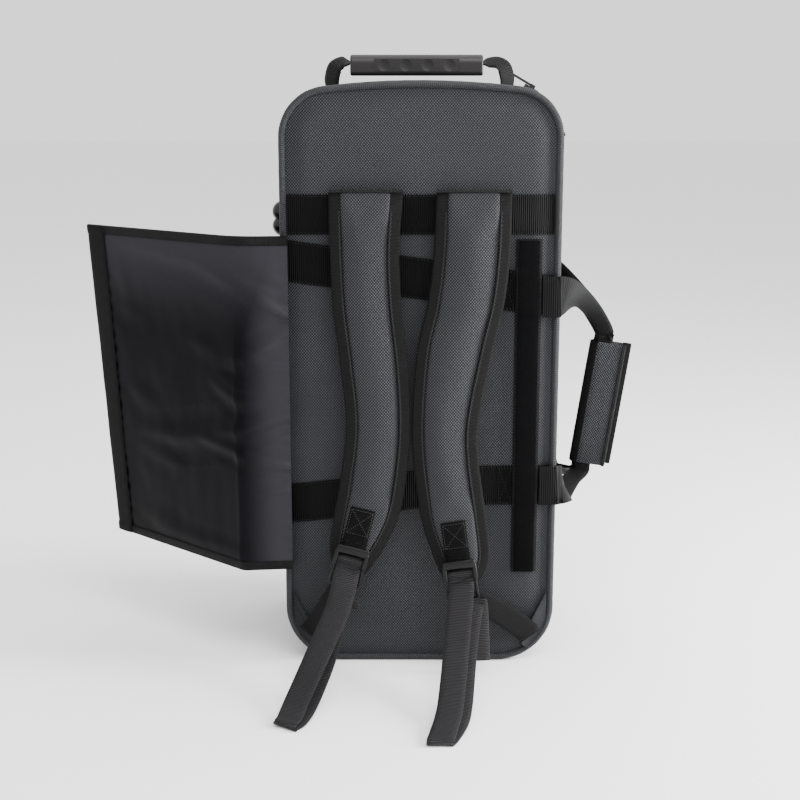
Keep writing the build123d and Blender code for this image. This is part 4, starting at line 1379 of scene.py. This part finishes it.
def wrinkle(s, z):
    """How far the lining stands out from its card."""
    spot = Vector((s, z))
    height = 0.0
    for rise, width, line in ridge_lines:
        off, share = nearest(spot, line)
        near = off / (width * (0.7 + 0.5 * sin(pi * share)))
        if near < 2.5:
            ends = smooth_step(share / fade_share)
            if line[-1].x > 0:
                ends *= smooth_step((1 - share) / fade_share)
            height += ridge_strength * ends * rise * (1.35 * bell(near) - 0.35 * bell(near - 1.4))
    gather = 0.7 * sin(z / 1.9 + 3 * wavering(z / 19, 0, 3)) * 2.7 ** -(s / 9)
    tuck = 0.25 * sin(z / 3.1) * 2.7 ** -(abs(s - 227) / 4)
    slack = 0.8 * wavering(s / 46, z / 60, 1) + 0.3 * wavering(s / 17, z / 26, 7)
    crease = 0.5 * bell((s - 52.5) / 2.5) - 0.9 * bell((s - flap_marks[1]) / 2.2)
    return height + gather + tuck + slack + crease * smooth_step((flap_high - 5 - z) / 90)


print("wrinkles:", len(ridges))

# %% [markdown]
# In the photograph the flap hangs with a slight twist: its foot leans one way, its top the other.
# So the panels beyond the first fold turn by a few degrees with the height. Each fold is rounded,
# sharply at the foot and broadly at the top, by a parabola that meets both panels.

# %% The flap's form
foot_turn, top_turn = -4, 3
first_fold_round, first_fold_more, second_fold_round = 4, 20, 6


def flap_at(s, z, out):
    """A point of the flap: along it from the seam, up, and out towards its lining's side."""
    rise = (z - flap_low) / flap_height
    twist = Matrix.Rotation(radians(foot_turn + (top_turn - foot_turn) * rise), 2)
    hinge = flap_corners[1]
    corners = flap_corners[:2] + [hinge + twist @ (point - hinge) for point in flap_corners[2:]]
    k = 0 if s < flap_marks[1] else 1 if s < flap_marks[2] else 2
    a, b = corners[k], corners[k + 1]
    spot = a.lerp(b, (s - flap_marks[k]) / (flap_marks[k + 1] - flap_marks[k]))
    along = (b - a).normalized()
    first_reach = first_fold_round + first_fold_more * smooth_step(rise * 2 - 1)
    for corner, reach in ((1, first_reach), (2, second_fold_round)):
        near = s - flap_marks[corner]
        if abs(near) < reach:
            before, after = reach - near, reach + near
            first = (corners[corner] - corners[corner - 1]).normalized()
            second = (corners[corner + 1] - corners[corner]).normalized()
            spot = corners[corner] + (second * after**2 - first * before**2) / (4 * reach)
            along = (first * before + second * after).normalized()
    return Vector((spot.x - along.y * out, spot.y + along.x * out, z))


# %% [markdown]
# A piece can bend between two bodies only, and the flap has three folds with its seam. So each of
# its cloths is made in three pieces, cut where the cloth is flat. The pieces ride on no body.

# %% The flap's cloths
# Each part: its start and end along the flap, its two bodies, and where it bends between them
flap_parts = [
    ("base", 0, 30, "case_back", "flap_base", 0.5, 12),
    ("middle", 30, 125, "flap_base", "flap_middle", 40, 56),
    ("tip", 125, 252, "flap_middle", "flap_tip", 194, 210),
]


def flap_cloth(name, spot, rows, material, step=2.2, span=(0, 252), run=335,
               replaced=None):
    made = []
    for part, start, end, a, b, bend_from, bend_to in flap_parts:
        start, end = max(start, span[0]), min(end, span[1])
        if end - start < 1:
            continue
        columns = max(int((end - start) / step), 2)

        def place(u, v):
            return spot(start + (end - start) * u, v)

        def pattern(u, v):
            return start + (end - start) * u, run * v

        shape = on_grid((columns, rows), place, pattern)
        piece = make_piece(f"{name}_{part}", shape, material, None, turn=False, sharp=75)
        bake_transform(piece)
        if replaced:
            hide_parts(*replaced[part])
        made.append(piece)
    return made


card_half = 1.3  # half the card's thickness, with its cloth

# The binding's section: how far in from the flap's edge, and how far out from the card's middle
flap_tape = [
    (9.3, 1.5), (8.9, 2.3), (5, 2.5), (1.6, 2.4), (0.3, 1.5), (0, 0),
    (0.3, -1.5), (1.6, -2.3), (5, -2.3), (8.9, -2.1), (9.3, -1.4),
]
flap_rim = len(flap_tape) - 1


def lining_spot(s, v):
    z = flap_low + 3 + (flap_height - 6) * v
    rim = smooth_step((min(z - flap_low, flap_high - z) - 4) / 9)
    return flap_at(s, z, card_half + wrinkle(s, z) * rim)


def outer_spot(s, v):
    z = flap_high - 3 - (flap_height - 6) * v
    return flap_at(s, z, -card_half + 0.3 * wavering(s / 50, z / 50, 5))


def binding_spot(edge, inward):
    def spot(s, v):
        across, out = flap_tape[round(v * flap_rim)]
        wave = 0.2 * wavering(s / 11, across / 7, edge)
        return flap_at(s, edge + inward * across, out + wave)

    return spot


for name, edge, inward in (("top", flap_high, -1), ("foot", flap_low, 1)):
    flap_cloth("flap_binding_" + name, binding_spot(edge, inward), flap_rim, binding_web,
               step=1.6, run=30)
flap_cloth("flap_lining", lining_spot, 150, lining_nylon, replaced={
    "base": ["flap_side"],
    "middle": ["flap_panel", "flap_fold_crease"],
    "tip": ["flap_edge", "flap_edge_crease"],
})
flap_cloth("flap_outer", outer_spot, 60, case_cloth, step=4.0)
print("flap's cloths made")

# %% [markdown]
# The hook strip is folded over the flap's far edge and sewn down, so it puckers a little along its
# inner seam. At both ends it spreads to clear the binding that it lies over.

# %% The hook strip
hook_start, hook_width = 228, 24

# Its section: the way along the flap, and how far out from the card's middle
hook_section = [
    (228, 1.6), (228.3, 2.7), (231, 3.3), (238, 3.2), (246, 3.1), (250.6, 2.7),
    (252, 1.2), (252.2, -0.6), (251, -2.2), (245, -2.2), (243, -2.0), (242.7, -1.3),
]


def hook_spot(s, v):
    last = len(hook_section) - 1
    k = (s - hook_start) / hook_width * last
    low = min(int(k), last - 1)
    spot = Vector(hook_section[low]).lerp(Vector(hook_section[low + 1]), k - low)
    z = flap_low + 1.0 + (flap_height - 2) * v
    out = spot.y + 0.25 * wavering(z / 20, spot.x / 9, 2)
    spread = 1.1 * smooth_step((11 - min(z - flap_low, flap_high - z)) / 5)
    if spot.y > 0:
        pucker = 0.35 * sin(z / 2.4 + 3 * wavering(z / 23, 1, 1))
        return flap_at(spot.x, z, out + spread + pucker * 2.7 ** -((spot.x - 230) / 3))
    return flap_at(spot.x, z, out - spread)


hook, = flap_cloth("flap_hook", hook_spot, 150, hook_cloth,
                   span=(hook_start, hook_start + hook_width))
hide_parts("hook_strip")
print("flap made")

# %% [markdown]
# The top handle is a moulded rubber grip on a loop of webbing, box-stitched to the back half's top.
# The grip and its finger panels are kept as they were measured. The webbing leaves its anchor flat
# and upright, and twists on its way into the grip, so its width turns a little at each point.

# %% Top handle
for node in ("top_grip", "grip_inset_back", "grip_inset_front"):
    finish_solid(node, grip_rubber)

handle_y = -40  # the handle's plane, over the back half
grip_z = 596.5


def top_surface(x):
    """The height of the case's crowned top."""
    x = abs(x)
    if x < top_x + corner_top * cos(lean):
        return top - crown_radius + sqrt(crown_radius**2 - x * x)
    return top_z + sqrt(corner_top**2 - (x - top_x) ** 2)


def make_anchor(which, side, foot):
    """The webbing's end, lying on the top."""
    ways = [foot + side * i for i in (19, 13, 7, 1, -6)]
    flat = [(x, handle_y, top_surface(x) + 1.5) for x in ways]
    ribbon("top_anchor_" + which + "_cloth", flat, [(0, 1, 0)] * len(flat), 24.8, 2.2,
           "case_back", ["top_anchor_" + which], handle_web)


def sew_anchor(which, side, foot):
    """Three sides of a box, stitched through the webbing's end."""
    row = [(x, top_surface(x) + 2.7) for x in (foot + side * i for i in range(-4, 18, 2))]
    seams = [[(x, handle_y + aside, z) for x, z in row] for aside in (-10.5, 10.5)]
    seams.append([(x, handle_y - 10.5 + 21 * i / 10, z) for i, (x, z) in enumerate(row)])
    stitches("top_anchor_stitches_" + which, seams, "case_back",
             face=(0, 0, 1), pitch=2.6)


def make_loop(which, side, foot, end):
    """The webbing between its anchor and the grip's end."""
    base = top_surface(foot) + 3.5
    points = [
        (foot - side * 4, handle_y, base - 0.6),
        (foot - side * 4, handle_y, base + 7),
        (foot - side * 7, handle_y, grip_z - 4.5),
        (foot - side * 13.5, handle_y, grip_z),
        (end + side * 6, handle_y, grip_z),
        (end + side * 0.4, handle_y, grip_z - 0.5),
    ]
    across = [
        (side * 0.55, 0.85, 0), (side * 0.6, 0.8, 0), (side * 0.55, 0.8, 0.25),
        (side * 0.25, 0.85, 0.42), (0, 0.9, 0.4), (0, 1, 0.15),
    ]
    widths = [24.6, 24.6, 24, 23, 21, 18.4]
    loop, _ = ribbon("top_loop_" + which + "_webbing", points, across, widths, 2.3, None,
                     ["top_loop_" + which], handle_web, steps=10)
    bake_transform(loop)


for which, side, foot, end in (("left", -1, -90.0, -68.0), ("right", 1, 88.0, 60.0)):
    make_anchor(which, side, foot)
    make_loop(which, side, foot, end)
    sew_anchor(which, side, foot)
print("top handle made")

# %% [markdown]
# The side handle is two straps, one from each half, held together by a padded wrap. Each strap is
# wide where it goes round the case's edge, and folded in half where the hand holds it. The wrap
# leans with the handle, so its pieces are drawn in a plane of their own.

# %% The side handle's plane
wrap_foot, wrap_top = Vector((182.5, 12, 181)), Vector((202, 12, 312))
rise = wrap_top - wrap_foot
wrap_length = rise.length
rise.normalize()
axes = Matrix(((rise.z, 0, -rise.x), (0, 1, 0), tuple(rise))).transposed()
wrap_frame = Matrix.Translation(wrap_foot) @ axes.to_4x4()
print("wrap:", round(wrap_length), "mm long")

# %% [markdown]
# Each strap's points run from under the upper band out to the handle, down through the wrap, and
# back to the lower band. Its width turns on the way: upright on the panel, and crosswise where the
# strap hangs in the handle.

# %% Side handle
def handle_strap(name, turn, body, replaced):
    face = panel_back if turn < 0 else panel_lid
    out = turn * (2.7 if turn < 0 else 0.95)
    levels = (wrap_length + 8, wrap_length - 6, 6, -8)
    inside = local(wrap_frame, *[(-9.2, turn * 4.1, level) for level in levels])
    y = inside[0][1]
    upper, lower, seam = upper_height(half), lower_z, edge_x
    depth = (face + 12 + turn * 4.1) / 2
    points = [
        (118, face + out, upper),
        (seam + 4, face + out, upper),
        (seam + 9, face + out - turn * 2, upper),
        (seam + 17, face - turn * 10, upper - 2),
        (seam + 33, depth, upper - 9),
        (seam + 47, y + turn * 22, upper - 23),
        (seam + 57, y + turn * 6, upper - 37),
        *inside,
        (seam + 32, y + turn * 20, lower - 18),
        (seam + 21, depth, lower - 24),
        (seam + 16, face - turn * 10, lower - 3),
        (seam + 9, face + out - turn * 2, lower),
        (seam + 4, face + out, lower),
        (118, face + out, lower),
    ]
    widths = [40, 40, 39.5, 36, 22] + [19] * 8 + [36, 39.5, 40, 40]
    depths = [1.6] * 4 + [3.0] + [4.0] * 8 + [1.6] * 4
    across = [
        (0, 0, 1), (0, 0, 1), (0.1, 0, 1), (0.3, 0, 0.95), (0.6, 0, 0.8), (0.8, 0, 0.6),
        (0.93, 0, 0.3), *[bar_axis(wrap_frame)] * 4, (0.95, 0, -0.3), (0.8, 0, -0.6),
        (0.3, 0, -0.95), (0.1, 0, -1), (0, 0, -1), (0, 0, -1),
    ]
    piece, _ = ribbon(name, points, across, widths, depths, None, [replaced], handle_web)
    if turn < 0:
        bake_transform(piece)
    else:
        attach(piece, body)


handle_strap("side_strap_back", -1, "case_back", "side_handle_back")
handle_strap("side_strap_lid", 1, "lid", "side_handle_lid")
print("side straps made")

# %% [markdown]
# The wrap is a padded sheet bent round the straps, with a leaf that closes over it. Bindings edge
# both. Each is drawn by its profile across the handle, and runs along the handle's length.

# %% Grip wrap
bend_x = -12.5  # the middle of the wrap's bend, across the handle


def wrap_sheet(name, profile, trim, thick, body, material, replaced=()):
    """A sheet round the handle: its profile is drawn across it, and its ends are trimmed."""
    points = local(wrap_frame, *[(x, y, wrap_length / 2) for x, y in profile])
    piece, _ = ribbon(name, points, [tuple(rise)] * len(points), wrap_length - 2 * trim, thick,
                      body, replaced, material, steps=6)
    return piece


def wrap_bend(radius, start, step, count):
    """The part of a profile that goes round the wrap's bend."""
    turns = [radians(start + step * i) for i in range(count)]
    return [(bend_x + radius * cos(a), radius * sin(a)) for a in turns]


wrap_profile = [(13.6, -8.1), (6, -8.3), (-4, -8.3)] + wrap_bend(8.2, -90, -30, 7)
leaf_profile = [(-11.9, 8.2), (-4, 8.3), (8, 8.3), (21.6, 8.1)]
for name, profile, body, replaced in (
    ("wrap_cloth", wrap_profile, "side_grip", "grip_wrap"),
    ("wrap_leaf_cloth", leaf_profile, "grip_leaf", "grip_wrap_leaf"),
):
    piece = wrap_sheet(name, profile, 0.5, 2.5, body, case_cloth, [replaced])

right_edge = [(14.2, -6.9), (14.4, -8.3), (13.7, -9.7), (12.3, -9.9), (10.6, -9.75)]
leaf_edge = [(14, 9.7), (18, 9.75), (21.8, 9.5), (22.4, 8.2), (21.8, 6.9), (18, 6.7), (13, 6.7)]
wrap_sheet("wrap_band_left", wrap_bend(9.6, -110, -16, 6), 0.2, 0.9, "side_grip", binding_web)
wrap_sheet("wrap_band_right", right_edge, 0.2, 0.8, "side_grip", binding_web)
wrap_sheet("leaf_band", leaf_edge, 0.2, 0.8, "grip_leaf", hook_cloth)

ends = (3.4, wrap_length - 3.4)
rows = [local(wrap_frame, *[(-13 + 2 * i, -9.75, level) for i in range(12)]) for level in ends]
rows.append(local(wrap_frame, *[(-14.9, -10.0, 2 + i * 6.4) for i in range(21)]))
stitches("wrap_stitches", rows, "side_grip", grey_thread, 2.8, (1.0, 0.36, 0.3))
print("handles made")

# %% [markdown]
# Inside, the back half holds a moulded bed under plush, with wells for the bell, the tubes, the
# valves, small things and two mouthpieces. Plush has no sharp corners, so a finely remeshed copy
# of the measured bed is smoothed. The lid's pad gets quilted channels the same way.

# %% Bed and lid pad
def soft_copy(name, node, voxel, body, channels=None):
    """A measured solid under plush: remeshed, smoothed, and pressed in where it has channels."""
    mesh = solids[node].data.copy()
    mesh.materials.clear()
    mesh.materials.append(plush)
    piece = bpy.data.objects.new(name, mesh)
    bpy.context.scene.collection.objects.link(piece)
    weld = piece.modifiers.new("weld", "WELD")
    weld.merge_threshold = 0.00001
    again = piece.modifiers.new("remesh", "REMESH")
    again.mode, again.voxel_size = "VOXEL", voxel * MM
    smooth = piece.modifiers.new("smooth", "SMOOTH")
    smooth.iterations, smooth.factor = 3, 0.5
    settle(piece)
    if channels:
        for point in piece.data.vertices:
            point.co.y += channels(point.co / MM) * MM
    piece.data.shade_smooth()
    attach(piece, body)
    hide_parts(node)


quilt_spacing, channel_width, channel_depth = 62.0, 5.0, 3.4
pad_rear = 70  # the pad's points beyond this lie against the lid


def quilting(point):
    """How deep the quilting pulls the pad in, along two slanting sets of lines on its face."""
    if point.y > pad_rear:
        return 0.0
    pull = 0.0
    for slant in (point.x + point.z, point.x - point.z):
        off = slant / quilt_spacing - floor(slant / quilt_spacing + 0.5)
        pull = max(pull, bell(off * quilt_spacing / channel_width))
    return channel_depth * pull


soft_copy("plush_bed", "instrument_bed", 3.6, "case_back")
soft_copy("plush_lid_pad", "lid_pad", 4.0, "lid", quilting)
print("bed and pad covered")

# %% [markdown]
# The lid's outside has a flat zipped pocket for sheet music. Its cloth is drawn tight over a thin
# pad, so its edge rolls down to a bound seam.

# %% Front pocket
pocket_half, pocket_low, pocket_high, pocket_corner = 106.0, 64.0, 452.0, 22.5


def pocket_outline(inset):
    """The pocket's edge moved inwards: a rectangle with rounded corners."""
    radius = max(pocket_corner - inset, 1.0)
    x = pocket_half - inset - radius
    low, high = pocket_low + inset + radius, pocket_high - inset - radius
    points = arc((x, low), radius, -pi / 2, 0, 8) + arc((x, high), radius, 0, pi / 2, 8)
    points += arc((-x, high), radius, pi / 2, pi, 8) + arc((-x, low), radius, pi, 3 * pi / 2, 8)
    return points + points[:1]


# How the edge rolls over: how far in, and how far out from the case
pocket_rows = [
    (0.3, 95.3), (0.1, 97.5), (0.4, 101), (1.4, 104.2),
    (3.6, 106.2), (7.5, 106.9), (16, 107.0), (30, 107.05),
]
rings = [pocket_outline(inset) for inset, _ in pocket_rows]
steps, last = len(rings[0]) - 1, len(pocket_rows) - 1


def pocket_place(u, v):
    k = round(v * last)
    x, z = rings[k][round(u * steps)]
    return x, pocket_rows[k][1], z


cloth = on_grid((steps, last), pocket_place, lambda u, v: (0, 0), weld=True)
inner = [edge for edge in cloth.edges if edge.is_boundary and edge.verts[0].co.y > 0.107]
bmesh.ops.contextual_create(cloth, geom=inner)
flat_pattern(cloth)
pocket = make_piece("pocket_cloth", cloth, case_cloth, "lid", sharp=60)
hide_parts("front_pocket")

# The binding lies round the edge
hem = [tuple(spot) for spot, _ in spaced([(x, 96.5, z) for x, z in pocket_outline(-1.2)], 5.0)]
hem.append(hem[0])
edge_shape, _ = ribbon_mesh(hem, [(0, 1, 0)] * len(hem), 2.6, 3.4, steps=2)
make_piece("pocket_binding", edge_shape, binding_web, "lid", sharp=70)
print("pocket covered")

# %% The pocket's zipper
zip_z, zip_y = 426, 108.1
ways = [*range(-83, 84, 10), 83.5]
zip_points = [(x, zip_y, zip_z) for x in ways]
ribbon("pocket_zip_tape", zip_points, [(0, 0, 1)] * len(ways), 13.8, 1.3, "lid",
       ["pocket_zipper"], binding_web, steps=2)
for name, lift, aside, material, pitch, size in (
    ("pocket_zip_coil", 0.6, 1.1, coil, 2.0, (0.55, 1.15, 0.7)),
    ("pocket_zip_stitches", 0.65, 5.6, thread, 3.0, (1.0, 0.34, 0.3)),
):
    rows = [[(x, zip_y + lift, zip_z + offset) for x in ways] for offset in (-aside, aside)]
    stitches(name, rows, "lid", material, pitch, size, (0, 1, 0))
print("pocket made")
